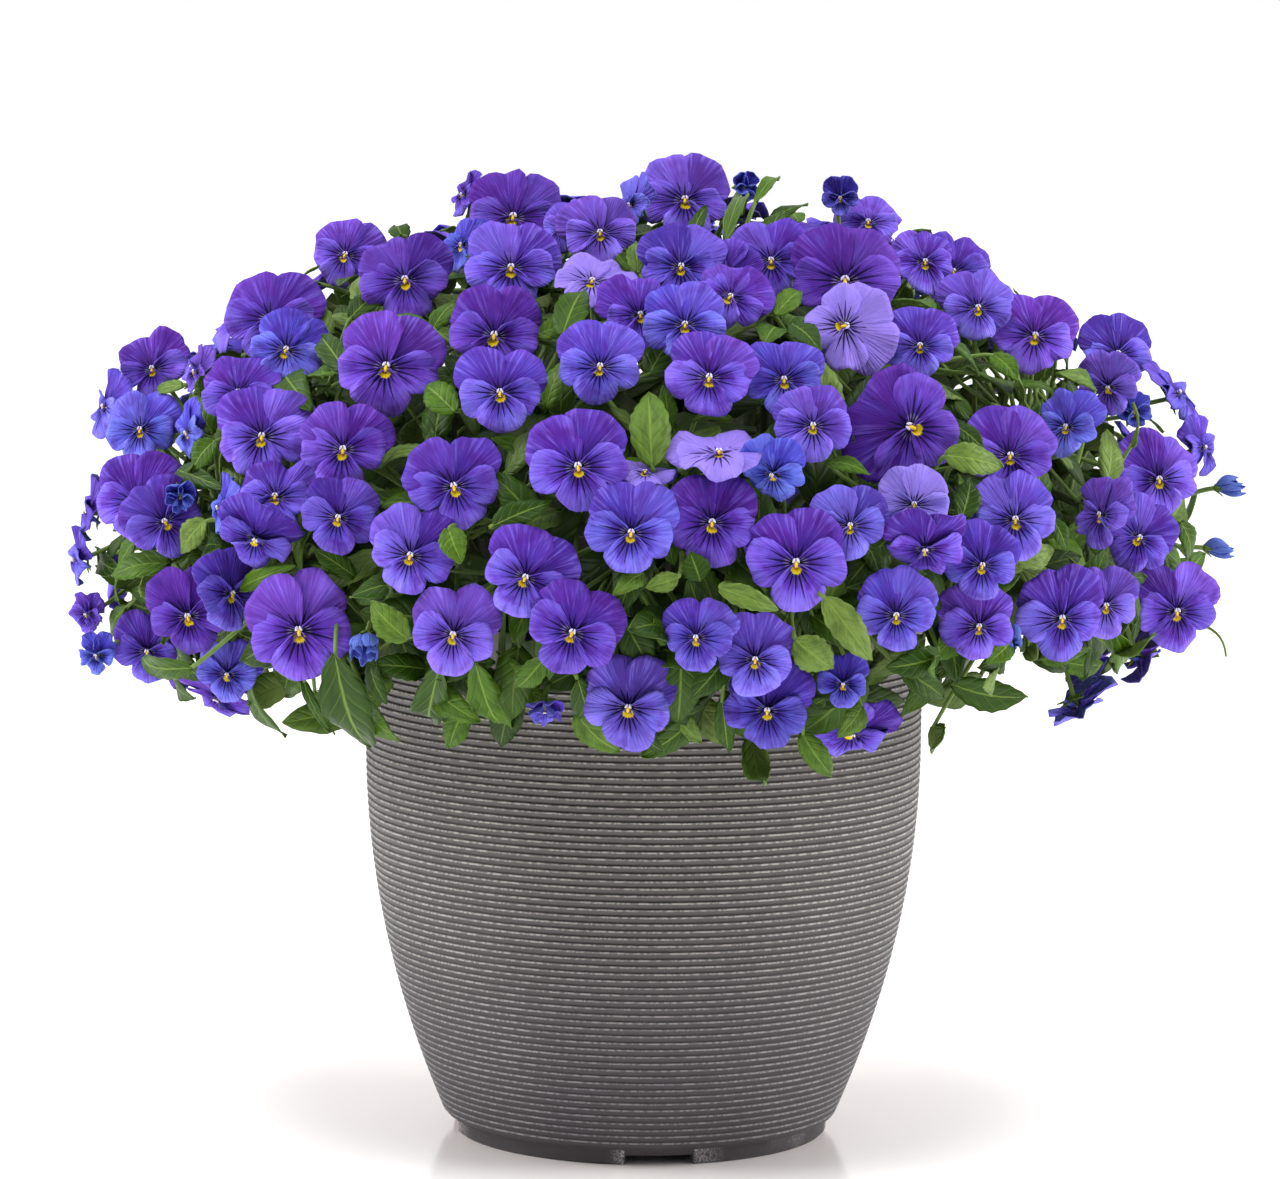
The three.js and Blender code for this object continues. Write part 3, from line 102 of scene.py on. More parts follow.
# The blooms that the photograph shows. x, y: where the eye is in its pixels; wide: across the side petals,
# in mm; in degrees: roll, clockwise; turn, to the right; tip, upwards; blue: from violet, 0, to blue, 1;
# pale: how far it has faded to lilac, or darker than the others below 0.
SEEN_BLOOMS = [
    {"x": 345, "y": 255, "wide": 37, "roll": 15, "blue": 0.4},
    {"x": 286, "y": 350, "wide": 38, "roll": 18, "blue": 0.7},
    {"x": 270, "y": 319, "wide": 46, "blue": 0.25},
    {"x": 152, "y": 369, "wide": 36, "roll": -10, "blue": 0.3},
    {"x": 194, "y": 372, "wide": 26, "turn": -50, "blue": 0.35},
    {"x": 262, "y": 437, "wide": 46, "blue": 0.35},
    {"x": 238, "y": 393, "wide": 37, "tip": 10, "blue": 0.3},
    {"x": 140, "y": 430, "wide": 36, "blue": 0.85},
    {"x": 103, "y": 407, "wide": 34, "roll": 10, "turn": -50, "blue": 0.7},
    {"x": 186, "y": 433, "wide": 28, "roll": -20, "turn": -50, "tip": -20, "blue": 0.9},
    {"x": 343, "y": 450, "wide": 43, "blue": 0.2},
    {"x": 338, "y": 518, "wide": 36, "roll": 8, "blue": 0.45},
    {"x": 136, "y": 502, "wide": 43, "blue": 0.4},
    {"x": 180, "y": 498, "wide": 22, "turn": 20, "tip": -40, "blue": 1},
    {"x": 165, "y": 522, "wide": 38, "roll": -30, "turn": 20, "blue": 0.4},
    {"x": 85, "y": 513, "wide": 34, "turn": -65, "blue": 0.35},
    {"x": 74, "y": 560, "wide": 30, "turn": -60, "tip": -20, "blue": 0.6},
    {"x": 86, "y": 615, "wide": 25, "turn": -20, "blue": 0.3},
    {"x": 96, "y": 656, "wide": 25, "turn": -15, "blue": 0.9},
    {"x": 188, "y": 617, "wide": 42, "roll": -10, "blue": 0.05, "pale": -0.6},
    {"x": 147, "y": 652, "wide": 34, "blue": 0.4},
    {"x": 232, "y": 594, "wide": 36, "turn": 55, "blue": 0.5},
    {"x": 227, "y": 675, "wide": 30, "roll": 8, "blue": 0.75},
    {"x": 299, "y": 631, "wide": 50, "roll": -5, "blue": 0.15},
    {"x": 275, "y": 497, "wide": 40, "tip": 25, "blue": 0.5},
    {"x": 255, "y": 540, "wide": 38, "roll": 30, "turn": -10, "tip": -45, "blue": 0.5},
    {"x": 218, "y": 508, "wide": 28, "turn": -60, "blue": 0.9},
    {"x": 365, "y": 645, "wide": 20, "tip": -55, "blue": 1},
    {"x": 454, "y": 487, "wide": 44, "roll": -12, "blue": 0.35},
    {"x": 410, "y": 556, "wide": 40, "roll": 14, "blue": 0.4},
    {"x": 453, "y": 635, "wide": 40, "roll": 5, "blue": 0.3},
    {"x": 525, "y": 578, "wide": 40, "roll": 24, "blue": 0.4},
    {"x": 572, "y": 633, "wide": 43, "roll": 20, "blue": 0.3},
    {"x": 628, "y": 708, "wide": 43, "roll": 5, "blue": 0.6},
    {"x": 545, "y": 712, "wide": 23, "tip": -50, "blue": 0.6},
    {"x": 631, "y": 533, "wide": 41, "roll": 5, "blue": 0.65},
    {"x": 578, "y": 467, "wide": 45, "roll": -10, "blue": 0.35},
    {"x": 405, "y": 280, "wide": 45, "roll": -3, "blue": 0.35, "pale": -0.6},
    {"x": 386, "y": 367, "wide": 51, "roll": 8, "blue": 0.2},
    {"x": 494, "y": 336, "wide": 47, "roll": 5, "blue": 0.25, "pale": -0.6},
    {"x": 500, "y": 393, "wide": 41, "blue": 0.45},
    {"x": 511, "y": 268, "wide": 44, "blue": 0.45},
    {"x": 513, "y": 217, "wide": 47, "roll": 10, "blue": 0.2, "pale": -0.6},
    {"x": 462, "y": 195, "wide": 26, "turn": -60, "blue": 0.4},
    {"x": 461, "y": 245, "wide": 28, "turn": -40, "blue": 0.9},
    {"x": 600, "y": 233, "wide": 38, "roll": -5, "blue": 0.4},
    {"x": 562, "y": 228, "wide": 28, "turn": -30, "blue": 0.5},
    {"x": 592, "y": 281, "wide": 37, "roll": 15, "tip": 25, "blue": 0.45, "pale": 0.8},
    {"x": 630, "y": 205, "wide": 28, "turn": -60, "tip": -20, "blue": 0.8},
    {"x": 600, "y": 367, "wide": 39, "roll": 3, "blue": 0.6},
    {"x": 640, "y": 315, "wide": 36, "turn": 20, "blue": 0.4},
    {"x": 685, "y": 200, "wide": 47, "blue": 0.4},
    {"x": 681, "y": 267, "wide": 40, "roll": 10, "blue": 0.5},
    {"x": 685, "y": 325, "wide": 39, "blue": 0.7},
    {"x": 709, "y": 378, "wide": 42, "roll": 8, "blue": 0.35},
    {"x": 726, "y": 272, "wide": 30, "roll": 25, "turn": -25, "blue": 0.5},
    {"x": 730, "y": 297, "wide": 36, "roll": 35, "tip": 10, "blue": 0.3},
    {"x": 771, "y": 261, "wide": 39, "blue": 0.45},
    {"x": 746, "y": 188, "wide": 22, "turn": 30, "tip": -30, "blue": 0.95},
    {"x": 845, "y": 281, "wide": 55, "blue": 0.1, "pale": -0.6},
    {"x": 868, "y": 222, "wide": 34, "tip": 15, "blue": 0.3},
    {"x": 840, "y": 198, "wide": 24, "tip": -30, "blue": 0.8},
    {"x": 845, "y": 326, "wide": 43, "roll": 80, "blue": 0.45, "pale": 0.8},
    {"x": 920, "y": 346, "wide": 35, "turn": -10, "blue": 0.5},
    {"x": 784, "y": 380, "wide": 37, "blue": 0.7},
    {"x": 813, "y": 426, "wide": 36, "blue": 0.45},
    {"x": 772, "y": 475, "wide": 30, "turn": -20, "tip": -40, "blue": 0.95},
    {"x": 719, "y": 452, "wide": 43, "tip": 50, "blue": 0.5, "pale": 0.8},
    {"x": 911, "y": 427, "wide": 53, "roll": -70, "blue": 0.25, "pale": -0.6},
    {"x": 925, "y": 262, "wide": 34, "turn": 10, "blue": 0.35},
    {"x": 953, "y": 272, "wide": 38, "blue": 0.4},
    {"x": 978, "y": 308, "wide": 36, "blue": 0.45},
    {"x": 1035, "y": 336, "wide": 40, "roll": 10, "blue": 0.2},
    {"x": 1118, "y": 354, "wide": 38, "blue": 0.55},
    {"x": 1108, "y": 388, "wide": 32, "turn": -30, "tip": -40, "blue": 0.4},
    {"x": 1134, "y": 412, "wide": 24, "blue": 0.95},
    {"x": 1180, "y": 393, "wide": 36, "turn": 50, "tip": 30, "blue": 0.55},
    {"x": 1066, "y": 427, "wide": 32, "turn": -40, "blue": 0.85},
    {"x": 1010, "y": 456, "wide": 41, "roll": 5, "blue": 0.3},
    {"x": 1159, "y": 480, "wide": 42, "blue": 0.4},
    {"x": 1205, "y": 448, "wide": 32, "turn": 45, "blue": 0.5},
    {"x": 1228, "y": 487, "wide": 18, "turn": 60, "blue": 1},
    {"x": 1217, "y": 549, "wide": 17, "turn": 70, "tip": -20, "blue": 1},
    {"x": 1139, "y": 538, "wide": 37, "roll": 40, "blue": 0.5},
    {"x": 1100, "y": 515, "wide": 34, "turn": -60, "blue": 0.35},
    {"x": 1106, "y": 606, "wide": 35, "blue": 0.35},
    {"x": 1062, "y": 619, "wide": 42, "blue": 0.4},
    {"x": 1177, "y": 612, "wide": 43, "blue": 0.25},
    {"x": 982, "y": 566, "wide": 36, "roll": 10, "blue": 0.6},
    {"x": 1015, "y": 520, "wide": 41, "blue": 0.55},
    {"x": 925, "y": 550, "wide": 38, "tip": -50, "blue": 0.35},
    {"x": 914, "y": 505, "wide": 34, "blue": 0.75, "pale": 0.8},
    {"x": 850, "y": 526, "wide": 33, "blue": 0.6},
    {"x": 796, "y": 563, "wide": 46, "roll": -3, "blue": 0.25},
    {"x": 712, "y": 523, "wide": 43, "blue": 0.3},
    {"x": 696, "y": 638, "wide": 33, "turn": -15, "blue": 0.65},
    {"x": 755, "y": 660, "wide": 37, "blue": 0.6},
    {"x": 767, "y": 711, "wide": 40, "blue": 0.6},
    {"x": 843, "y": 685, "wide": 26, "blue": 0.8},
    {"x": 852, "y": 735, "wide": 40, "roll": 20, "tip": -40, "blue": 0.45},
    {"x": 896, "y": 616, "wide": 37, "blue": 0.55},
    {"x": 979, "y": 627, "wide": 36, "blue": 0.3},
    {"x": 1012, "y": 637, "wide": 16, "tip": -40, "blue": 1},
    {"x": 645, "y": 472, "wide": 30, "tip": 55, "blue": 0.5, "pale": 0.8},
]

# The leaves that the photograph shows best: from where the blade starts to its tip, in its pixels;
# wide and lift, which is how far it stands out of the dome, in mm.
SEEN_LEAVES = [
    {"from": (335, 655), "to": (372, 742), "wide": 24, "lift": 6},
    {"from": (303, 680), "to": (331, 731), "wide": 6, "lift": -4},
    {"from": (192, 668), "to": (144, 657), "wide": 14, "lift": 12},
    {"from": (175, 675), "to": (196, 698), "wide": 12, "lift": -6},
    {"from": (408, 640), "to": (370, 602), "wide": 16, "lift": -4},
    {"from": (440, 665), "to": (432, 715), "wide": 17, "lift": -4},
    {"from": (475, 662), "to": (510, 725), "wide": 16, "lift": -4},
    {"from": (545, 658), "to": (517, 688), "wide": 12, "lift": -4},
    {"from": (578, 680), "to": (602, 731), "wide": 15, "lift": -10},
    {"from": (700, 708), "to": (640, 756), "wide": 18, "lift": -10},
    {"from": (722, 700), "to": (728, 751), "wide": 10, "lift": -8},
    {"from": (753, 730), "to": (763, 779), "wide": 14, "lift": -8},
    {"from": (825, 598), "to": (871, 660), "wide": 16, "lift": 4},
    {"from": (795, 640), "to": (832, 668), "wide": 18, "lift": -6},
    {"from": (940, 655), "to": (886, 668), "wide": 16, "lift": -6},
    {"from": (1012, 640), "to": (986, 663), "wide": 12, "lift": -6},
    {"from": (1116, 635), "to": (1112, 665), "wide": 12, "lift": -6},
    {"from": (1018, 563), "to": (1054, 550), "wide": 12, "lift": -4},
    {"from": (1052, 518), "to": (1067, 552), "wide": 9, "lift": -4},
    {"from": (1181, 522), "to": (1190, 561), "wide": 12, "lift": 0},
    {"from": (492, 526), "to": (551, 502), "wide": 13, "lift": -2},
    {"from": (448, 528), "to": (462, 563), "wide": 14, "lift": -2},
    {"from": (652, 466), "to": (648, 392), "wide": 20, "lift": -8},
    {"from": (720, 588), "to": (778, 609), "wide": 11, "lift": -4},
    {"from": (678, 578), "to": (646, 588), "wide": 10, "lift": -4},
    {"from": (700, 580), "to": (690, 552), "wide": 14, "lift": -8},
    {"from": (792, 324), "to": (821, 352), "wide": 13, "lift": -4},
    {"from": (775, 315), "to": (800, 293), "wide": 12, "lift": -8},
    {"from": (992, 354), "to": (1018, 380), "wide": 13, "lift": -4},
    {"from": (1095, 388), "to": (1056, 373), "wide": 9, "lift": -2},
    {"from": (955, 425), "to": (984, 450), "wide": 10, "lift": 0},
    {"from": (945, 455), "to": (1001, 468), "wide": 16, "lift": -4},
    {"from": (962, 518), "to": (970, 480), "wide": 14, "lift": -4},
    {"from": (1108, 482), "to": (1106, 430), "wide": 15, "lift": -4},
    {"from": (562, 336), "to": (583, 292), "wide": 17, "lift": -4},
    {"from": (538, 335), "to": (572, 325), "wide": 11, "lift": -6},
    {"from": (432, 330), "to": (456, 303), "wide": 10, "lift": -6},
    {"from": (455, 412), "to": (425, 385), "wide": 16, "lift": -8},
    {"from": (350, 318), "to": (386, 292), "wide": 14, "lift": -6},
    {"from": (345, 370), "to": (322, 338), "wide": 14, "lift": -6},
    {"from": (285, 375), "to": (312, 412), "wide": 18, "lift": -8},
    {"from": (182, 385), "to": (160, 400), "wide": 9, "lift": -4},
    {"from": (215, 440), "to": (192, 470), "wide": 14, "lift": -8},
    {"from": (178, 470), "to": (224, 488), "wide": 12, "lift": -6},
    {"from": (205, 520), "to": (182, 552), "wide": 14, "lift": -8},
    {"from": (240, 588), "to": (294, 565), "wide": 9, "lift": -6},
    {"from": (103, 555), "to": (128, 575), "wide": 12, "lift": -6},
    {"from": (725, 240), "to": (744, 205), "wide": 9, "lift": -2},
    {"from": (755, 202), "to": (778, 181), "wide": 6, "lift": 6},
]


class Draws:
    """The seeded random numbers of the model's source"""

    FACTOR = 16807
    MODULUS = 2147483647

    def __init__(self, seed):
        self.seed = seed

    def between(self, low, high):
        self.seed = (self.seed * self.FACTOR) % self.MODULUS
        return low + (high - low) * (self.seed / self.MODULUS)


draws = Draws(seed=2417)


def unit(direction):
    return direction / math.sqrt(direction @ direction)


def pointing(start, end):
    return unit(end - start)


def apart(a, b):
    offset = a - b
    return math.sqrt(offset @ offset)


def mix(a, b, share):
    return a + (b - a) * share


def inside(point, lift):
    """How far inside the dome a point is: 0 on it, positive inside"""
    reach = math.hypot(point[0] - DOME["x"], point[1]) / (DOME["radius"] + lift)
    rise = point[2] - DOME["z"]
    if rise >= 0:
        return 1 - reach**2 - (rise / (DOME["up"] + lift)) ** 2
    return 1 - reach ** DOME["skirt"] - (-rise / (DOME["down"] + lift)) ** DOME["skirt"]


SKIRT_STRETCH = 1.6


def outward(point):
    """The way out of the dome at a point on it"""
    rise = point[2] - DOME["z"]
    height = DOME["up"] if rise >= 0 else DOME["down"] * SKIRT_STRETCH
    level = vector(point[0] - DOME["x"], point[1], 0) / DOME["radius"] ** 2
    return unit(level + UP * rise / height**2)


SIGHT_LINE = {"near": 2250, "far": 2750, "step": 4}


def from_photo(x, y, lift):
    """Where the sight line of a pixel meets the dome, or passes closest to it"""
    right = x - MIDDLE[0]
    rise = MIDDLE[1] - y
    level_right = right * math.cos(ROLL) - rise * math.sin(ROLL)
    level_rise = right * math.sin(ROLL) + rise * math.cos(ROLL)
    sight = AHEAD + UPWARDS * level_rise / FOCAL
    sight[0] += level_right / FOCAL
    best = EYE + sight * SIGHT_LINE["near"]
    deepest = inside(best, lift)
    for distance in range(SIGHT_LINE["near"], SIGHT_LINE["far"] + 1, SIGHT_LINE["step"]):
        point = EYE + sight * distance
        depth = inside(point, lift)
        if depth > deepest:
            best = point
            deepest = depth
        if deepest >= 0:
            break
    return best


def even_spots(count, lift, lowest):
    """Spots spread evenly over the dome, from its top to its skirt, in a golden spiral"""
    slices = 200
    skirt_depth = DOME["down"] * SKIRT_STRETCH

    def angle_of(slice_index):
        share = (slice_index + 0.5) / slices
        return (1 - share) * math.pi / 2 + share * lowest

    areas = [0]
    for i in range(slices):
        angle = angle_of(i)
        height = DOME["up"] if angle > 0 else skirt_depth
        slope = math.hypot(DOME["radius"] * math.sin(angle), height * math.cos(angle))
        areas.append(areas[i] + math.cos(angle) * slope)
    spots = []
    reached = 0
    for k in range(count):
        wanted = areas[slices] * (k + 0.5) / count
        while areas[reached + 1] < wanted:
            reached += 1
        angle = angle_of(reached)
        height = DOME["up"] if angle > 0 else skirt_depth
        reach = (DOME["radius"] + lift) * math.cos(angle)
        turn = k * GOLDEN_TURN
        across = (DOME["x"] + reach * math.cos(turn), reach * math.sin(turn))
        spots.append(vector(*across, DOME["z"] + (height + lift) * math.sin(angle)))
    return spots


RIM_POINTS = 10


class Blade:
    """A petal disc or a leaf, as an ellipse: its middle, its normal, its long and its short half-axis; the
    rim's points are on its edge and half way there"""

    def __init__(self, middle, normal, lengthways, long, short):
        self.middle = middle
        self.normal = normal
        self.lengthways = lengthways
        self.sideways = unit(np.cross(lengthways, normal))
        self.long = long
        self.short = short
        rim = []
        for i in range(RIM_POINTS):
            angle = 2 * math.pi * i / RIM_POINTS
            point = middle + lengthways * long * math.cos(angle) + self.sideways * short * math.sin(angle)
            rim.append(point)
            if i % 2 == 0:
                rim.append(mix(middle, point, 0.5))
        self.rim = np.array(rim)


CLEAR = 3.5
MARGIN = 1.5


def heights_over(blade, other):
    """How high the points of a blade's rim lie over another blade, where they pass over it"""
    offsets = blade.rim - other.middle
    along = offsets @ other.lengthways / (other.long + MARGIN)
    across = offsets @ other.sideways / (other.short + MARGIN)
    return (offsets @ other.normal)[np.hypot(along, across) < 1]


def passes(blade, other):
    """Whether one blade lies wholly to one side of the other, where it passes over it"""
    heights = heights_over(blade, other)
    return not (np.any(heights < CLEAR) and np.any(heights > -CLEAR))


def clashes(blade, others):
    count = 0
    for other in others:
        if apart(blade.middle, other.middle) > blade.long + other.long + CLEAR:
            continue
        if not passes(blade, other) or not passes(other, blade):
            count += 1
    return count


SLIDES = (0, 4, -4, 8, -8, 12, -12, 16, -16, 20, -20)


def settle(make, clashes_of):
    """Slides a blade in and out along a line to where it clears the others best"""
    best = None
    least = math.inf
    for slide in SLIDES:
        made = make(slide)
        count = clashes_of(made)
        if count < least:
            best = made
            least = count
        if least == 0:
            break
    return best


DISC = {"rise": 0.08, "long": 0.56, "short": 0.5}


class Bloom:
    """A bloom's place: its eye, the way it faces, its top and its side"""

    def __init__(self, eye, facing, roll, wide, blue, seen):
        level = unit(UP - facing * (UP @ facing))
        side = np.cross(level, facing)
        self.eye = eye
        self.facing = facing
        self.top = level * math.cos(roll) + side * math.sin(roll)
        self.across = side * math.cos(roll) - level * math.sin(roll)
        self.wide = wide
        self.blue = blue
        self.seen = seen
        self.pale = 0
        self.root = None
        middle = eye + self.top * wide * DISC["rise"] + facing * THROAT
        self.disc = Blade(middle, facing, self.top, wide * DISC["long"], wide * DISC["short"])

    def start(self):
        return self.eye - self.facing * BLOOM_DEPTH


def turned(facing, turn, tip):
    side = unit(np.cross(UP, facing))
    rise = unit(np.cross(facing, side))
    return unit(facing + side * math.tan(turn) + rise * math.tan(tip))


TO_VIEWER = 0.8
TO_OUTSIDE = 0.35


def seen_bloom(seen, slide):
    on_dome = from_photo(seen["x"], seen["y"], 0)
    viewer = pointing(on_dome, EYE)
    facing = unit(viewer * TO_VIEWER + outward(on_dome) * TO_OUTSIDE)
    turn, tip, roll = (math.radians(seen.get(name, 0)) for name in ("turn", "tip", "roll"))
    facing = turned(facing, turn, tip)
    bloom = Bloom(on_dome + viewer * slide, facing, roll, seen["wide"], seen["blue"], True)
    bloom.pale = seen.get("pale", 0)
    return bloom


HIDDEN_SPOTS = 138
SIGHT = 0.12
BLOOM_SPACING = 34
HIDDEN_BLOOM = {"least": 34, "most": 48, "lean": 0.1, "turn": 0.35, "tip": 0.3, "roll": 0.5}
HIDDEN_BLUES = (0.4, 0.3, 0.85, 0.5, 0.25, 0.6, 0.35, 0.95, 0.45, 0.3, 0.7)
SKIRT_LOWEST = math.radians(-36)


def place_blooms():
    blooms = []

    def add(make):
        discs = [bloom.disc for bloom in blooms]
        blooms.append(settle(make, lambda bloom: clashes(bloom.disc, discs)))

    for seen in SEEN_BLOOMS:
        add(lambda slide: seen_bloom(seen, slide))
    for spot in even_spots(HIDDEN_SPOTS, 0, SKIRT_LOWEST):
        out = outward(spot)
        if out @ pointing(spot, EYE) > SIGHT:
            continue
        if any(apart(bloom.eye, spot) < BLOOM_SPACING for bloom in blooms):
            continue
        turn = draws.between(-HIDDEN_BLOOM["turn"], HIDDEN_BLOOM["turn"])
        tip = draws.between(-HIDDEN_BLOOM["tip"], HIDDEN_BLOOM["tip"])
        facing = turned(unit(out + UP * HIDDEN_BLOOM["lean"]), turn, tip)
        roll = draws.between(-HIDDEN_BLOOM["roll"], HIDDEN_BLOOM["roll"])
        wide = draws.between(HIDDEN_BLOOM["least"], HIDDEN_BLOOM["most"])
        blue = HIDDEN_BLUES[len(blooms) % len(HIDDEN_BLUES)]
        add(lambda slide: Bloom(spot + out * slide, facing, roll, wide, blue, False))
    return blooms


def nearest_index(places, point):
    offsets = places - point
    return int(np.argmin(np.einsum("ij,ij->i", offsets, offsets)))


GATHERING_ROUNDS = 12
PUSHING_ROUNDS = 40


def gather(centres, points):
    """Moves each centre to the middle of the points nearest to it, over and over"""
    moved = np.array(centres)
    for _ in range(GATHERING_ROUNDS):
        owners = np.array([nearest_index(moved, point) for point in points])
        for i in range(len(moved)):
            group = [point for point, owner in zip(points, owners) if owner == i]
            if group:
                moved[i] = sum(group) / len(group)
    return [vector(*centre) for centre in moved]


def push_apart(places, spacing):
    """Moves places away from one another until they are a distance apart"""
    for _ in range(PUSHING_ROUNDS):
        for i, place in enumerate(places):
            for k, other in enumerate(places):
                if i == k:
                    continue
                offset = place - other
                distance = math.sqrt(offset @ offset)
                if distance < spacing:
                    place += offset / distance * (spacing - distance) / 2


STEM_SPACING = 34
FOOT_SPACING = 16
STEM_DEPTH = 34
LOWEST_END = POT_HEIGHT + 14
LOWEST_CREST = 440
CREST = {"out": 0.28, "up": 0.75}
UPRIGHT = 4
STEM_PIECES = 3
FARTHEST = 3
HALVINGS = 30


def on_dome(point, lift):
    """The point of the dome, or of one that is larger by the lift, straight out from its middle"""
    middle = vector(DOME["x"], 0, DOME["z"])
    low = 0
    high = FARTHEST
    for _ in range(HALVINGS):
        share = (low + high) / 2
        if inside(mix(middle, point, share), lift) > 0:
            low = share
        else:
            high = share
    return mix(middle, point, low)


def place_ends(blooms, leaf_starts):
    """Where the stems end, and whether they are leafy"""
    eyes = [bloom.eye for bloom in blooms]
    sprays = gather(eyes[::BLOOMS_A_SPRAY], eyes)
    leafy = gather(leaf_starts[::SEEN_LEAVES_A_STEM], leaf_starts)
    spots = even_spots(HIDDEN_LEAFY_SPOTS, 0, SKIRT_LOWEST)
    hidden = [spot for spot in spots if outward(spot) @ pointing(spot, EYE) < SIGHT]
    ends = [*sprays, *leafy, *hidden]
    push_apart(ends, STEM_SPACING)
    placed = []
    for i, end in enumerate(ends):
        raised = vector(end[0], end[1], max(end[2], LOWEST_END))
        placed.append((on_dome(raised, -STEM_DEPTH), i >= len(sprays)))
    return placed


class Stem:
    """A stem: its route from its foot in the soil, and what grows on it"""

    def __init__(self, foot, crest, place, leafy):
        self.foot = foot
        self.leafy = leafy
        self.blooms = []
        self.leaves = []
        rise = foot + UP * UPRIGHT
        self.curve = (rise, crest, place)
        shares = [i / STEM_PIECES for i in range(STEM_PIECES + 1)]
        self.route = [foot - UP * HOLE_DEPTH, *(self.bend(share) for share in shares)]

    def bend(self, share):
        start, crest, end = self.curve
        return start * (1 - share) ** 2 + crest * 2 * (1 - share) * share + end * share**2

    def at(self, share):
        """A point on the straight pieces of the model's stem"""
        piece = min(math.floor(share * STEM_PIECES), STEM_PIECES - 1)
        return mix(self.route[piece + 1], self.route[piece + 2], share * STEM_PIECES - piece)

    def end(self):
        return self.route[-1]


def place_stems(ends):
    """The stems rise from the soil and fan out under the dome; every one stands upright in its hole"""
    feet = []
    for place, _ in ends:
        reach = math.hypot(place[0] - DOME["x"], place[1])
        steepness = max(0, math.atan2(place[2] - LOWEST_END, reach))
        spread = FOOT_SPREAD * math.sqrt(1 - steepness / (math.pi / 2))
        feet.append(vector((place[0] - DOME["x"]) / reach * spread, place[1] / reach * spread, SOIL_TOP))
    push_apart(feet, FOOT_SPACING)
    stems = []
    for (place, leafy), foot in zip(ends, feet):
        crest = mix(foot, place, CREST["out"])
        crest[2] = SOIL_TOP + CREST["up"] * (max(place[2], LOWEST_CREST) - SOIL_TOP)
        stems.append(Stem(foot, crest, place, leafy))
    return stems


def closest(stems, point):
    return min(stems, key=lambda stem: apart(stem.end(), point))


class Leaf:
    """A leaf's place: from where its blade starts to its tip, its face and its width"""

    def __init__(self, start, tip, face, wide, seen):
        lengthways = pointing(start, tip)
        across = unit(np.cross(lengthways, face))
        self.blade_start = start
        self.tip = tip
        self.normal = unit(np.cross(across, lengthways))
        self.length = apart(start, tip)
        self.wide = wide
        self.seen = seen
        self.root = None
        self.disc = Blade(mix(start, tip, 0.5), self.normal, lengthways, self.length / 2, wide / 2)

    def start(self):
        return self.blade_start


ROOTS = {"highest": 0.97, "step": 0.045, "count": 11}
CLEARANCE = 5
SAMPLING = 2


class Lines:
    """The straight middles of stems and stalks, each with the stem that owns it"""

    def __init__(self):
        self.starts = []
        self.ends = []
        self.owners = []

    def add(self, start, end, owner):
        self.starts.append(start)
        self.ends.append(end)
        self.owners.append(owner)

    def others(self, owner):
        kept = [i for i, other in enumerate(self.owners) if other is not owner]
        return np.array(self.starts)[kept], np.array(self.ends)[kept]


def closest_pass(start, end, lines):
    """How close a straight stalk comes to any of the lines"""
    steps = math.ceil(apart(start, end) / SAMPLING) + 1
    places = start + (end - start) * (np.arange(steps + 1) / steps)[:, None]
    starts, ends = lines
    runs = ends - starts
    offsets = places[:, None, :] - starts[None, :, :]
    shares = np.einsum("ijk,jk->ij", offsets, runs) / np.einsum("jk,jk->j", runs, runs)
    nearest = starts[None, :, :] + np.clip(shares, 0, 1)[:, :, None] * runs[None, :, :]
    gaps = nearest - places[:, None, :]
    return math.sqrt(np.einsum("ijk,ijk->ij", gaps, gaps).min())


def give_roots(stems, repeats_on, lines):
    """Gives every repeat a root of its own on its stem, as high as its stalk clears the others"""
    for stem in stems:
        waiting = sorted(repeats_on(stem), key=lambda repeat: apart(repeat.start(), stem.end()))
        places = max(ROOTS["count"], len(waiting))
        free = [ROOTS["highest"] - i * ROOTS["step"] for i in range(places)]
        others = lines.others(stem)
        for repeat in waiting:
            clear = [min(CLEARANCE, closest_pass(repeat.start(), stem.at(share), others)) for share in free]
            chosen = free.pop(clear.index(max(clear)))
            repeat.root = stem.at(chosen)
            lines.add(repeat.start(), repeat.root, stem)


def seen_leaf(seen, slide):
    ends = []
    for x, y in (seen["from"], seen["to"]):
        point = from_photo(x, y, seen["lift"])
        ends.append(point + pointing(point, EYE) * slide)
    middle = mix(*ends, 0.5)
    face = unit(outward(middle) + pointing(middle, EYE))
    return Leaf(*ends, face, seen["wide"], True)


HIDDEN_LEAF = {"least": 36, "most": 52, "narrow": 0.44, "broad": 0.56, "out": 0.75, "up": 0.6}
HIDDEN_PETIOLE = {"reach": 11, "rise": 8}
LEAFY_STRETCH = 0.4
LEAF_ATTEMPTS = 8
ATTEMPT_TURN = 0.8
LEAF_JITTER = 0.3
SHORT_WAY = 0.1
FIRST_LEAF_AIM = vector(1, 0.2, 0)


def turned_about(direction, axis, angle):
    level = direction * math.cos(angle) + np.cross(axis, direction) * math.sin(angle)
    return level + axis * (axis @ direction) * (1 - math.cos(angle))


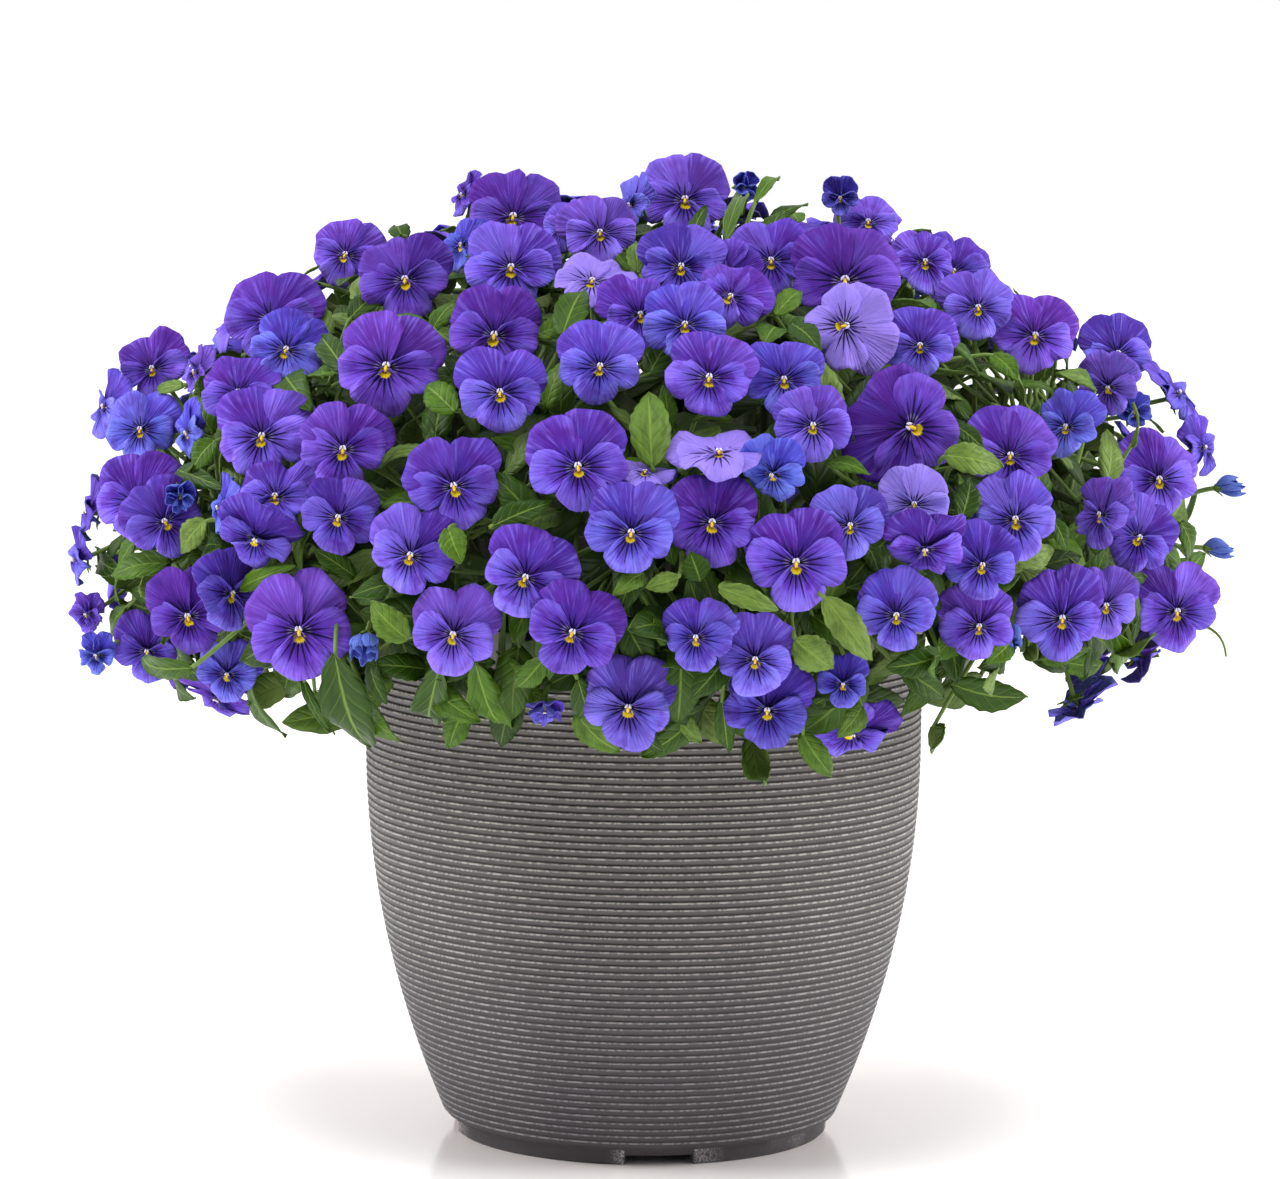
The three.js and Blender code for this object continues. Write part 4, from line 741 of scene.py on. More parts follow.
def hidden_leaf(stem, place, attempt):
    """A leaf that the photograph doesn't show, at one of the places down its stem where leaves grow"""
    share = ROOTS["highest"] - LEAFY_STRETCH * place / LEAVES_A_STEM
    start = stem.at(share)
    rise = pointing(stem.at(share - SHORT_WAY), start)
    side = unit(np.cross(rise, FIRST_LEAF_AIM))
    turn = place * GOLDEN_TURN + attempt * ATTEMPT_TURN + draws.between(-LEAF_JITTER, LEAF_JITTER)
    out = turned_about(side, rise, turn)
    length = draws.between(HIDDEN_LEAF["least"], HIDDEN_LEAF["most"])
    blade_start = start + out * HIDDEN_PETIOLE["reach"] + rise * HIDDEN_PETIOLE["rise"]
    tip = blade_start + out * length * HIDDEN_LEAF["out"] + rise * length * HIDDEN_LEAF["up"]
    wide = length * draws.between(HIDDEN_LEAF["narrow"], HIDDEN_LEAF["broad"])
    return Leaf(blade_start, tip, rise, wide, False)


def place_leaves(stems, blooms, lines):
    discs = [bloom.disc for bloom in blooms]
    everything = lines.others(None)

    def clashes_of(leaf):
        crossed = closest_pass(leaf.blade_start, leaf.tip, everything) < CLEARANCE
        return clashes(leaf.disc, discs) + (1 if crossed else 0)

    def keep(leaf, stem):
        discs.append(leaf.disc)
        stem.leaves.append(leaf)

    for seen in SEEN_LEAVES:
        leaf = settle(lambda slide: seen_leaf(seen, slide), clashes_of)
        keep(leaf, closest(stems, leaf.blade_start))
    for stem in stems:
        for place in range(len(stem.leaves), LEAVES_A_STEM):
            for attempt in range(LEAF_ATTEMPTS):
                leaf = hidden_leaf(stem, place, attempt)
                if clashes_of(leaf) == 0:
                    keep(leaf, stem)
                    break


def place_everything():
    """The stems of the model, with their blooms and leaves on them"""
    blooms = place_blooms()
    leaf_starts = [seen_leaf(seen, 0).blade_start for seen in SEEN_LEAVES]
    stems = place_stems(place_ends(blooms, leaf_starts))
    for bloom in blooms:
        closest([stem for stem in stems if not stem.leafy], bloom.eye).blooms.append(bloom)
    lines = Lines()
    for stem in stems:
        for start, end in zip(stem.route, stem.route[1:]):
            lines.add(start, end, stem)
    give_roots(stems, lambda stem: stem.blooms, lines)
    place_leaves([stem for stem in stems if stem.leafy], blooms, lines)
    give_roots(stems, lambda stem: stem.leaves, lines)
    return [stem for stem in stems if stem.blooms or stem.leaves]


class Growth:
    """The points and faces of one piece, gathered sheet by sheet, with marks for its finishes to read"""

    # How far along and aside a point lies, which petal and face it is on, its colour and what varies it;
    # shade: on petals how faded or darkened a bloom is, on leaves and stalks how much painted shade darkens
    # them
    MARKS = ("run", "side", "lip", "upper", "back", "tone", "chance", "shade")

    def __init__(self):
        self.points = []
        self.quads = []
        self.triangles = []
        self.quad_finish = []
        self.triangle_finish = []
        self.marks = {name: [] for name in self.MARKS}
        self.count = 0

    def add(self, points, quads, finish, triangles=(), **marks):
        points = np.asarray(points, dtype=float).reshape(-1, 3)
        self.points.append(points)
        quads = np.asarray(quads, dtype=int).reshape(-1, 4)
        triangles = np.asarray(triangles, dtype=int).reshape(-1, 3)
        self.quads.append(quads + self.count)
        self.triangles.append(triangles + self.count)
        self.quad_finish.append(np.full(len(quads), finish))
        self.triangle_finish.append(np.full(len(triangles), finish))
        for name in self.MARKS:
            self.marks[name].append(np.broadcast_to(marks.get(name, 0.0), len(points)))
        self.count += len(points)

    def piece(self, name, finishes, nodes, slot):
        """One Blender object of everything gathered, which stands for its nodes of the model"""
        points = np.concatenate(self.points) * MM
        quads = np.concatenate(self.quads)
        triangles = np.concatenate(self.triangles)
        mesh = bpy.data.meshes.new(name)
        mesh.vertices.add(len(points))
        mesh.vertices.foreach_set("co", points.ravel())
        corners = np.concatenate([quads.ravel(), triangles.ravel()])
        starts = [np.arange(len(quads)) * 4, len(quads) * 4 + np.arange(len(triangles)) * 3]
        mesh.loops.add(len(corners))
        mesh.loops.foreach_set("vertex_index", corners.astype(np.int32))
        mesh.polygons.add(len(quads) + len(triangles))
        mesh.polygons.foreach_set("loop_start", np.concatenate(starts).astype(np.int32))
        mesh.update(calc_edges=True)
        numbers = np.concatenate([*self.quad_finish, *self.triangle_finish])
        mesh.polygons.foreach_set("material_index", numbers.astype(np.int32))
        mesh.polygons.foreach_set("use_smooth", np.ones(len(numbers), dtype=bool))
        for mark, values in self.marks.items():
            values = np.concatenate(values)
            if np.any(values):
                layer = mesh.attributes.new(mark, "FLOAT", "POINT")
                layer.data.foreach_set("value", values.astype(np.float32))
        for finish in finishes:
            mesh.materials.append(finish)
        thing = bpy.data.objects.new(name, mesh)
        bpy.context.collection.objects.link(thing)
        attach(thing, "root")
        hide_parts(*nodes)


def grid_shares(rows, columns):
    """How far along a grid its rows are, from 0 to 1, and how far aside its columns are, from -1 to 1"""
    return np.linspace(0, 1, rows)[:, None], np.linspace(-1, 1, columns)[None, :]


def grid_quads(rows, columns):
    """Faces between the points of a grid"""
    first = (np.arange(rows - 1)[:, None] * columns + np.arange(columns - 1)).ravel()
    return np.stack([first, first + 1, first + columns + 1, first + columns], axis=1)


def ring_faces(count, segments):
    """Faces from each ring of points to the next, and fans that close the ends about two more points"""
    index = np.arange(count * segments).reshape(count, segments)
    beside = np.roll(index, -1, axis=1)
    quads = np.stack([index[:-1], beside[:-1], beside[1:], index[1:]], axis=-1)
    low = np.full(segments, count * segments)
    fans = np.stack([low, beside[0], index[0], low + 1, index[-1], beside[-1]], axis=-1)
    return quads.reshape(-1, 4), fans.reshape(-1, 3)


SHORTEST_NORMAL = 1e-9


def add_blade(growth, front, thickness, finish, **marks):
    """A thin closed blade whose front is a grid of points; each mark is one number or a grid of them"""
    rows, columns, _ = front.shape
    lengthways = np.gradient(front, axis=0)
    across = np.gradient(front, axis=1)
    normal = np.cross(lengthways, across)
    normal /= np.maximum(np.linalg.norm(normal, axis=2, keepdims=True), SHORTEST_NORMAL)
    back = front - normal * thickness
    count = rows * columns
    index = np.arange(count).reshape(rows, columns)
    rim = np.concatenate([index[0, :-1], index[:-1, -1], index[-1, :0:-1], index[:0:-1, 0]])
    following = np.roll(rim, -1)
    face = grid_quads(rows, columns)
    edge = np.stack([rim, following, following + count, rim + count], axis=1)
    quads = np.concatenate([face[:, ::-1], face + count, edge])
    both = {name: np.broadcast_to(value, (rows, columns)).ravel() for name, value in marks.items()}
    both = {name: np.tile(values, 2) for name, values in both.items()}
    both["back"] = np.repeat([0.0, 1.0], count)
    growth.add(np.concatenate([front.reshape(-1, 3), back.reshape(-1, 3)]), quads, finish, **both)


def bend_through(start, start_way, end, end_way, count):
    """Places on a smooth curve between two ends, each with its way on scaled by its reach"""
    share = np.linspace(0, 1, count)[:, None]
    first = start + start_way
    last = end - end_way
    return (
        start * (1 - share) ** 3
        + first * 3 * (1 - share) ** 2 * share
        + last * 3 * (1 - share) * share**2
        + end * share**3
    )


FIRST_SPOKE = vector(0.3, 0.5, 0.8)


def add_tube(growth, places, radii, sides, finish, **marks):
    """A closed round stalk along its places"""
    places = np.asarray(places)
    radii = np.broadcast_to(radii, len(places))
    ways = np.gradient(places, axis=0)
    ways /= np.linalg.norm(ways, axis=1, keepdims=True)
    reference = np.cross(ways[0], FIRST_SPOKE)
    turns = 2 * math.pi * np.arange(sides) / sides
    rings = []
    for place, way, radius in zip(places, ways, radii):
        reference = unit(reference - way * (reference @ way))
        other = np.cross(way, reference)
        spokes = np.cos(turns)[:, None] * reference + np.sin(turns)[:, None] * other
        rings.append(place + spokes * radius)
    points = np.concatenate([*rings, places[:1], places[-1:]])
    quads, fans = ring_faces(len(places), sides)
    run = np.concatenate([np.repeat(np.linspace(0, 1, len(places)), sides), [0, 1]])
    growth.add(points, quads, finish, fans, run=run, **marks)


# The numbers of the finishes on a spray and on a leafy stem
PETAL, STALK, BEARD, LEAF = range(4)

STEM_SIDES = 8
STALK_SIDES = 6
KNOB_SIDES = 7
# From the darker greens, 0, to the lighter ones, 1
GREENS = {"stem": 0.25, "pedicel": 0.55, "petiole": 0.7, "sepal": 0.8, "bare stalk": 0.8}
# How much painted shade darkens the stems inside the planting
STEM_PAINTED_SHADE = 0.7

# The five petals of a bloom: two upper ones, two at the sides and the lip. axis and spread: the middle and
# half the angle of its fan, in degrees from the right-hand side; reach: in widths; round: how square its
# margin is, from 2; layer: how far forward it lies, in mm; lift and fall: how far it rises and then bends
# back towards its margin, in widths.
UPPER = {"spread": 60, "round": 2.6, "fall": 0.1, "upper": 1}
PETALS = (
    {**UPPER, "axis": 53, "reach": 0.67, "layer": -1.6, "lift": 0.02},
    {**UPPER, "axis": 127, "reach": 0.66, "layer": -1.0, "lift": 0.03},
    {"axis": -2, "spread": 51, "reach": 0.525, "round": 2.8, "layer": 0, "lift": 0.1, "fall": 0.1},
    {"axis": 182, "spread": 51, "reach": 0.525, "round": 2.8, "layer": 0.2, "lift": 0.08, "fall": 0.09},
    {"axis": -90, "spread": 66, "reach": 0.5, "round": 3, "layer": 0.9, "lift": 0.13, "fall": 0.14, "lip": 1},
)
PETAL_BASE = 0.035
PETAL_THICKNESS = 0.5
SEEN_GRID = (10, 15)
HIDDEN_GRID = (7, 9)
BUD_WIDTH = 27
CLOSING_SPAN = 10
SMALL_WIDTH = 21
SMALL_GROWTH = 1.3
BUD_DROP = 5

# How one petal differs from the next: factors of its spread and reach, and its swing in degrees
SPREADS = (0.9, 1.08)
REACHES = (0.93, 1.05)
SWING = 7
# The shallow dent in a petal's margin: how deep, in reaches, where from side to side, and how narrow
DENT = {"depth": 0.06, "places": (-0.4, 0.4), "narrow": 0.02}
# Waves from one side of a petal to the other: their rate, and their height in reaches or in widths
SCALLOPS = ((5, 0.02), (13, 0.014))
RUFFLES = ((4.6, 0.066), (10, 0.034))
# In widths: how deep the fold down a petal's middle is, and how far one of its sides is raised
GUTTER = 0.03
TWIST = 0.05
LOPSIDED = 0.07
# A petal's outline: how much of its fan it fills, how blunt it is, how rounded its base is and how much
# narrower its fan is there
OUTLINE = {"fill": 0.985, "blunt": 0.42, "base": 0.6, "waist": 0.08}
# The powers of the way out by which its ruffles and its fall grow, its swell's share of a half wave, and the
# share of its layer at its base
RUFFLE_POWER = 2.4
FALL_POWER = 2.2
SWELL = 0.62
BASE_LAYER = 0.35
# A bud's petals: what they lose of their spread, their rise, in widths, its power of the way out, and how
# far they are drawn in, at their base and more further out
CUPPED = {"spread": 0.35, "rise": 0.62, "power": 1.3, "in": (0.1, 0.65)}


def waves(side, sizes, phases, level=0):
    """A few waves from side to side, on top of a level"""
    return sum((height * np.sin(rate * side + phase) for (rate, height), phase in zip(sizes, phases)), level)


def petal_front(bloom, petal, cup, chance):
    """The front of one petal as a grid of points, with how far out and how far aside each lies"""
    run, side = grid_shares(*(SEEN_GRID if bloom.seen else HIDDEN_GRID))
    wide = bloom.wide * (SMALL_GROWTH if bloom.wide < SMALL_WIDTH else 1)
    *phases, raised, lean = (chance.uniform(0, 2 * math.pi) for _ in range(6))
    spread = math.radians(petal["spread"] * chance.uniform(*SPREADS)) * (1 - CUPPED["spread"] * cup)
    axis = math.radians(petal["axis"] + chance.uniform(-SWING, SWING))
    outline = (1 - np.abs(side * OUTLINE["fill"]) ** petal["round"]) ** OUTLINE["blunt"]
    from_dent = (side - chance.uniform(*DENT["places"])) ** 2
    dent = 1 - DENT["depth"] * np.exp(-from_dent / DENT["narrow"]) * chance.random()
    scallop = waves(side, SCALLOPS, phases[:2], 1)
    lopsided = 1 + LOPSIDED * side * math.sin(lean)
    reach = petal["reach"] * wide * chance.uniform(*REACHES) * outline * dent * scallop * lopsided
    distance = PETAL_BASE * wide * (1 - OUTLINE["base"] * side**2) * (1 - run) + reach * run
    angle = axis + spread * side * (1 - OUTLINE["waist"] * (1 - run) ** 2)
    ruffle = waves(side, RUFFLES, phases[2:]) * run**RUFFLE_POWER
    swell = petal["lift"] * np.sin(SWELL * math.pi * run) - petal["fall"] * run**FALL_POWER
    gutter = -GUTTER * np.cos(0.5 * math.pi * side) * np.sin(math.pi * run)
    height = petal["layer"] * mix(BASE_LAYER, 1, run) + wide * (swell + ruffle + gutter)
    height = height + wide * cup * (CUPPED["rise"] * run ** CUPPED["power"]) - BUD_DROP * cup
    height = height + wide * TWIST * side**3 * run * math.sin(raised)
    least, more = CUPPED["in"]
    distance = distance * (1 - cup * (least + more * run**2))
    spokes = np.cos(angle)[..., None] * bloom.across + np.sin(angle)[..., None] * bloom.top
    points = bloom.eye + spokes * distance[..., None] + bloom.facing * (THROAT + height)[..., None]
    return points, run, side


def closing(bloom):
    """How far a small bloom is still closed, from 0 to 1"""
    return min(1, max(0, (BUD_WIDTH - bloom.wide) / CLOSING_SPAN))


HALF_CLOSED = 0.5
BLUEST_HIDDEN = 0.6
TONE_JITTER = 0.08
FADING = (-0.5, 0.25)


def add_bloom(growth, bloom, chance):
    cup = closing(bloom)
    bluest = 1 if bloom.seen else BLUEST_HIDDEN
    tone = min(bluest, max(0, bloom.blue**1.5 + chance.uniform(-TONE_JITTER, TONE_JITTER)))
    faded = bloom.pale or chance.uniform(*FADING)
    for petal in PETALS:
        front, run, side = petal_front(bloom, petal, cup, chance)
        marks = {"run": run, "side": side, "tone": tone, "shade": faded, "chance": chance.random()}
        marks.update((name, petal.get(name, 0)) for name in ("lip", "upper"))
        add_blade(growth, front, PETAL_THICKNESS, PETAL, **marks)
    if cup < HALF_CLOSED:
        add_beards(growth, bloom, chance)
    add_calyx(growth, bloom, chance)
    add_pedicel(growth, bloom, chance)


# A tuft: how far to the right and up of the eye, in widths, and its slant and that one's swing in degrees;
# half its length and its thickness in widths; how far forward it lies, in mm; its places and their thickness
BEARD_PLACES = ((0.022, 0.026, 116), (-0.022, 0.026, 64))
BEARD_SWING = 8
BEARD_LENGTHS = (0.026, 0.032)
BEARD_RADIUS = 0.014
BEARD_FORWARD = 0.8
BEARD_SECTION = ((-1, 0.5), (-0.4, 1), (0.4, 1), (1, 0.35))
# The knob's ends: how far up, in widths, and how far forward, in mm; the rest as for a tuft
KNOB = ((-0.05, 0.1), (0.022, 0.4))
KNOB_RADIUS = 0.02
KNOB_SECTION = ((0, 0.7), (0.3, 1), (0.7, 0.9), (1, 0.4))


def add_beards(growth, bloom, chance):
    """Two pale tufts that lean together over a yellow knob in the throat"""
    for right, up, angle in BEARD_PLACES:
        turn = math.radians(angle + chance.uniform(-BEARD_SWING, BEARD_SWING))
        way = bloom.across * math.cos(turn) + bloom.top * math.sin(turn)
        middle = bloom.eye + (bloom.across * right + bloom.top * up) * bloom.wide
        middle = middle + bloom.facing * BEARD_FORWARD
        length = bloom.wide * chance.uniform(*BEARD_LENGTHS)
        places = [middle + way * length * share for share, _ in BEARD_SECTION]
        radii = [bloom.wide * BEARD_RADIUS * thickness for _, thickness in BEARD_SECTION]
        add_tube(growth, places, radii, STALK_SIDES, BEARD)
    low, high = (bloom.eye + (bloom.top * up * bloom.wide + bloom.facing * out) for up, out in KNOB)
    places = [mix(low, high, share) for share, _ in KNOB_SECTION]
    radii = [bloom.wide * KNOB_RADIUS * thickness for _, thickness in KNOB_SECTION]
    add_tube(growth, places, radii, KNOB_SIDES, BEARD, tone=1.0)


SEPALS = 5
SEPAL = {"length": 9, "half": 2, "swing": 0.15, "thickness": 0.5, "rise": 0.8, "fold": 0.5}
# Where on its half wave a sepal's outline begins, how much of it it takes, and how soon it is widest
SEPAL_OUTLINE = (0.18, 0.8, 0.8)
SEPAL_GRID = (5, 3)
# How far in and forward the sepals of a bud are drawn, and the scale of the smallest calyx
DRAWN_IN = 0.45
DRAWN_FORWARD = 0.7
SMALLEST_CALYX = 0.5
FULL_CALYX_WIDTH = 38
# The spur behind a bloom: how far back, how far down and how thick, in mm
SPUR = ((2.2, 1, 1.3), (5.5, 3.4, 1.3), (8.6, 5.2, 0.8))
SPUR_MARKS = {"tone": 0.9, "side": 0.3, "upper": 0.5}


def add_calyx(growth, bloom, chance):
    """Pointed sepals round the neck, behind the petals, and the spur"""
    scale = mix(SMALLEST_CALYX, 1, min(1, bloom.wide / FULL_CALYX_WIDTH))
    cup = closing(bloom)
    run, side = grid_shares(*SEPAL_GRID)
    neck = bloom.start()
    begun, taken, early = SEPAL_OUTLINE
    for k in range(SEPALS):
        turn = 2 * math.pi * (k + 0.5) / SEPALS + chance.uniform(-SEPAL["swing"], SEPAL["swing"])
        out = bloom.across * math.cos(turn) + bloom.top * math.sin(turn)
        aside = np.cross(bloom.facing, out)
        width = SEPAL["half"] * scale * np.sin(math.pi * (begun + taken * run) ** early)
        away = SEPAL["length"] * scale * run
        rise = SEPAL["rise"] * np.sin(math.pi * run) * scale - SEPAL["fold"] * side**2
        front = (
            neck
            + out * (1 + away * (1 - DRAWN_IN * cup))[..., None]
            + aside * (width * side)[..., None]
            + bloom.facing * (rise + DRAWN_FORWARD * cup * away)[..., None]
        )
        marks = {"run": run, "tone": GREENS["sepal"], "chance": chance.random()}
        add_blade(growth, front, SEPAL["thickness"], STALK, **marks)
    if bloom.wide > BUD_WIDTH:
        places = [bloom.eye - bloom.facing * back - bloom.top * down for back, down, _ in SPUR]
        radii = [radius for *_, radius in SPUR]
        add_tube(growth, places, radii, STALK_SIDES, PETAL, **SPUR_MARKS)


# A pedicel: how far forward of the neck it starts, in a bud and in a bloom, and its steps; of it and of a
# petiole: which share of the way its ends keep their own direction
PEDICEL = {"bud": 1.2, "bloom": 4.3, "steps": 9, "radius": 1.35, "longest_bow": 14, "sway": 0.3}
BOW = 0.35
# Keeps the sideways direction of an upright bloom from being nothing
NUDGE = 0.01


def add_pedicel(growth, bloom, chance):
    """The bloom's stalk bows out a little before it meets the stem"""
    start = bloom.start() + bloom.facing * PEDICEL["bud" if closing(bloom) > HALF_CLOSED else "bloom"]
    distance = apart(start, bloom.root)
    reach = min(BOW * distance, PEDICEL["longest_bow"])
    sideways = unit(np.cross(bloom.facing, UP) + NUDGE)
    leaving = (-bloom.facing + sideways * chance.uniform(-PEDICEL["sway"], PEDICEL["sway"])) * reach
    arriving = unit(bloom.root - start) * BOW * distance
    places = bend_through(start, leaving, bloom.root, arriving, PEDICEL["steps"])
    radii = np.linspace(PEDICEL["radius"], STALK_RADIUS, PEDICEL["steps"])
    add_tube(growth, places, radii, STALK_SIDES, STALK, tone=GREENS["pedicel"], chance=chance.random())


LEAF_GRID = (26, 7)
LEAF_THICKNESS = 0.7
# In lengths: how far a leaf arches, waves and droops
LEAF_ARCH = 0.12
LEAF_WAVE = 0.035
LEAF_DROOP = 0.03
# How fast its wave runs lengthways and aside
WAVE_RATES = (7, 1.4)
# In half-widths: how far its sides fold up, and how they curl back again
LEAF_FOLD = 0.16
LEAF_CURL = 0.1
# The powers of its outline: below 1, the first puts its widest place nearer to its base and the second
# makes its ends blunter
OVAL = (0.74, 0.72)
# The teeth on each side, and the swellings between the veins that lead to them
TEETH = 6
TOOTH = {"depth": 0.15, "blunt": 0.7, "level": 0.6, "from": 0.06, "rows": 3}
QUILTING = 0.35
VEIN_SLANT = 0.9
# A petiole: its steps and sides, its thickness at both ends, and how far it runs into the blade, in mm
PETIOLE = (8, 6)
PETIOLE_RADII = (1.5, 1.15)
PETIOLE_LAP = 1.5
LONGEST_BEND = 5


def add_leaf(growth, leaf, chance, grid=LEAF_GRID, shade=0.0, petiole=PETIOLE):
    """An oval blade with blunt teeth, on its petiole; shade: how deep in the planting it grows, which darkens
    it and its petiole with painted shade
    """
    run, side = grid_shares(*grid)
    wave_start, droop_start, _ = (chance.uniform(0, 2 * math.pi) for _ in range(3))
    oval = np.sin(math.pi * run ** OVAL[0]) ** OVAL[1]
    depth = TOOTH["depth"] * min(1, len(run) / (TOOTH["rows"] * TEETH))
    tooth = np.abs(np.sin(math.pi * TEETH * run)) ** TOOTH["blunt"] - TOOTH["level"]
    teeth = 1 + depth * tooth * (run > TOOTH["from"])
    half = np.maximum(leaf.wide / 2 * oval * teeth, STALK_RADIUS * (1 - run))
    lengthways = leaf.disc.lengthways
    sideways = np.cross(leaf.normal, lengthways)
    arch = leaf.length * LEAF_ARCH * np.sin(math.pi * run)
    fold = LEAF_FOLD * half * np.abs(side) - LEAF_CURL * half * side**2
    along, aside = WAVE_RATES
    wave = LEAF_WAVE * leaf.length * np.sin(along * run + wave_start + aside * side) * side**2
    quilt = QUILTING * np.cos(2 * math.pi * (TEETH * run - VEIN_SLANT * np.abs(side)))
    height = arch + fold + wave + quilt * (1 - side**2) * (1 - run)
    droop = leaf.length * LEAF_DROOP * math.sin(droop_start) * run**2
    front = (
        leaf.blade_start
        + lengthways * (leaf.length * (run + side * 0))[..., None]
        + sideways * (half * side)[..., None]
        + leaf.normal * (height + droop)[..., None]
    )
    marks = {"run": run, "side": side, "tone": chance.random(), "chance": chance.random(), "shade": shade}
    add_blade(growth, front, LEAF_THICKNESS, LEAF, **marks)
    distance = apart(leaf.root, leaf.blade_start)
    leaving = unit(leaf.blade_start - leaf.root) * BOW * distance
    arriving = lengthways * min(BOW * distance, LONGEST_BEND)
    steps, sides = petiole
    places = bend_through(leaf.root, leaving, leaf.blade_start + lengthways * PETIOLE_LAP, arriving, steps)
    radii = np.linspace(*PETIOLE_RADII, steps)
    marks = {"tone": GREENS["petiole"], "chance": chance.random(), "shade": shade}
    add_tube(growth, places, radii, sides, STALK, **marks)


STEM_STEPS = 12


def add_stem(growth, stem, chance):
    shares = np.linspace(0, 1, STEM_STEPS)
    bottom = stem.route[0]
    places = [bottom, bottom + UP * HOLE_DEPTH * 0.5, *(stem.bend(share) for share in shares)]
    radii = np.linspace(STEM_RADIUS, STEM_RADIUS * STEM_TIP, len(places))
    marks = {"tone": GREENS["stem"], "chance": chance.random(), "shade": STEM_PAINTED_SHADE}
    add_tube(growth, places, radii, STEM_SIDES, STALK, **marks)


# The small leaves that fill the planting, in layers: how far inside the dome they grow, how many, their
# sizes, how deep in the shade they are, which sets their painted shade, and the rows of points of those near
# the viewer and of the others.
# below: the layer's upper end, where it only covers the skirt
FILLERS = (
    {"lift": -10, "spread": 10, "count": 540, "length": (22, 40), "shade": 0.1, "near": 13, "far": 8},
    {"lift": -24, "spread": 16, "count": 540, "length": (30, 46), "shade": 0.35, "near": 10, "far": 7,
     "below": 345},
    {"lift": -38, "spread": 14, "count": 320, "length": (28, 46), "shade": 0.6, "near": 10, "far": 7},
    {"lift": -78, "spread": 18, "count": 240, "length": (48, 70), "shade": 1, "near": 7, "far": 7},
)
FILLER_WIDTH = (0.42, 0.56)
FILLER_PETIOLE = (4, 4)
FILLER_JITTER = 12
FILLER_SLIDES = (0, -6, -12, -18, -26, -34)
FILLER_ROOTS = (0.3, 0.4, 0.5, 0.6, 0.7, 0.8, 0.9, 0.97)
FILLER_NEAR = 60
# How a filler leaf lies: how much it points away from its stem and outwards, how much it faces up and to
# the side it points to, and which share of it lies behind its spot
FILLER_WAY = {"away": 0.5, "out": (-0.2, 0.6)}
FILLER_FACE = {"up": 0.5, "aside": (-0.4, 0.4)}
FILLER_BEHIND = 0.4
FIRST_FILLER_AIM = vector(0.3, 0.2, 1)
COARSE_ROWS = 7
FILLER_COLUMNS = {"coarse": 3, "fine": 5}
RIM_CLEARANCE = 14
LOWEST_ON_RIGHT = 262


def covers(blade, disc):
    """Whether a blade lies in front of a bloom, or touches it"""
    return bool(np.any(heights_over(blade, disc) > -BLOOM_DEPTH)) or not passes(disc, blade)


def filler_leaf(spot, out, root, layer, chance):
    """A function of how far in a small leaf is moved, which gives that leaf"""
    length = chance.uniform(*layer["length"])
    wide = length * chance.uniform(*FILLER_WIDTH)
    level = unit(np.cross(out, FIRST_FILLER_AIM))
    aside = turned_about(level, out, chance.uniform(0, 2 * math.pi))
    way = unit(aside + pointing(root, spot) * FILLER_WAY["away"] + out * chance.uniform(*FILLER_WAY["out"]))
    face = unit(out + UP * FILLER_FACE["up"] + aside * chance.uniform(*FILLER_FACE["aside"]))

    def make(slide):
        start = spot + out * slide - way * length * FILLER_BEHIND
        leaf = Leaf(start, start + way * length, face, wide, True)
        leaf.root = root
        return leaf

    return make


def place_fillers(stems):
    """Small leaves all over the dome and inside it, each on the nearest stem and behind the blooms"""
    chance = random.Random("fillers")
    roots = [(stem, stem.bend(share)) for stem in stems for share in FILLER_ROOTS]
    places = np.array([place for _, place in roots])
    discs = [bloom.disc for stem in stems for bloom in stem.blooms]
    middles = np.array([disc.middle for disc in discs])
    fillers = []
    for layer in FILLERS:
        for spot in even_spots(layer["count"], layer["lift"], SKIRT_LOWEST):
            out = outward(spot)
            jitter = vector(*(chance.uniform(-1, 1) for _ in range(3))) * FILLER_JITTER
            spot = spot + jitter + out * chance.uniform(-1, 1) * layer["spread"]
            near_rim = math.hypot(spot[0], spot[1]) < POT_RADIUS + RIM_CLEARANCE
            if spot[2] > layer.get("below", math.inf) or near_rim and spot[2] < POT_HEIGHT + RIM_CLEARANCE:
                continue
            stem, root = roots[nearest_index(places, spot)]
            make = filler_leaf(spot, out, root, layer, chance)
            close = np.flatnonzero(np.linalg.norm(middles - spot, axis=1) < FILLER_NEAR)
            for slide in FILLER_SLIDES:
                leaf = make(slide)
                if not any(covers(leaf.disc, discs[i]) for i in close):
                    break
            else:
                continue
            if leaf.tip[0] > POT_RADIUS and min(leaf.tip[2], leaf.blade_start[2]) < LOWEST_ON_RIGHT:
                continue
            seen = out @ pointing(spot, EYE) > -SIGHT
            rows = layer["near" if seen else "far"]
            columns = FILLER_COLUMNS["fine" if rows > COARSE_ROWS else "coarse"]
            fillers.append((stem, leaf, (rows, columns), layer["shade"]))
    return fillers


# A bare stalk that hangs out at the planting's right edge: from, past and to, in the photograph's pixels
LOOSE_STALK = {"from": (1190, 622), "past": (1224, 628), "to": (1226, 656)}
LOOSE_REACH = 0.7
LOOSE_RADII = (0.9, 0.6)
LOOSE_STEPS = 9


def add_loose_stalk(growth, chance):
    start, past, end = (from_photo(x, y, 0) for x, y in LOOSE_STALK.values())
    leaving = (past - start) * LOOSE_REACH
    arriving = (end - past) * LOOSE_REACH
    places = bend_through(start, leaving, end, arriving, LOOSE_STEPS)
    radii = np.linspace(*LOOSE_RADII, LOOSE_STEPS)
    add_tube(growth, places, radii, STALK_SIDES, STALK, tone=GREENS["bare stalk"], chance=chance.random())


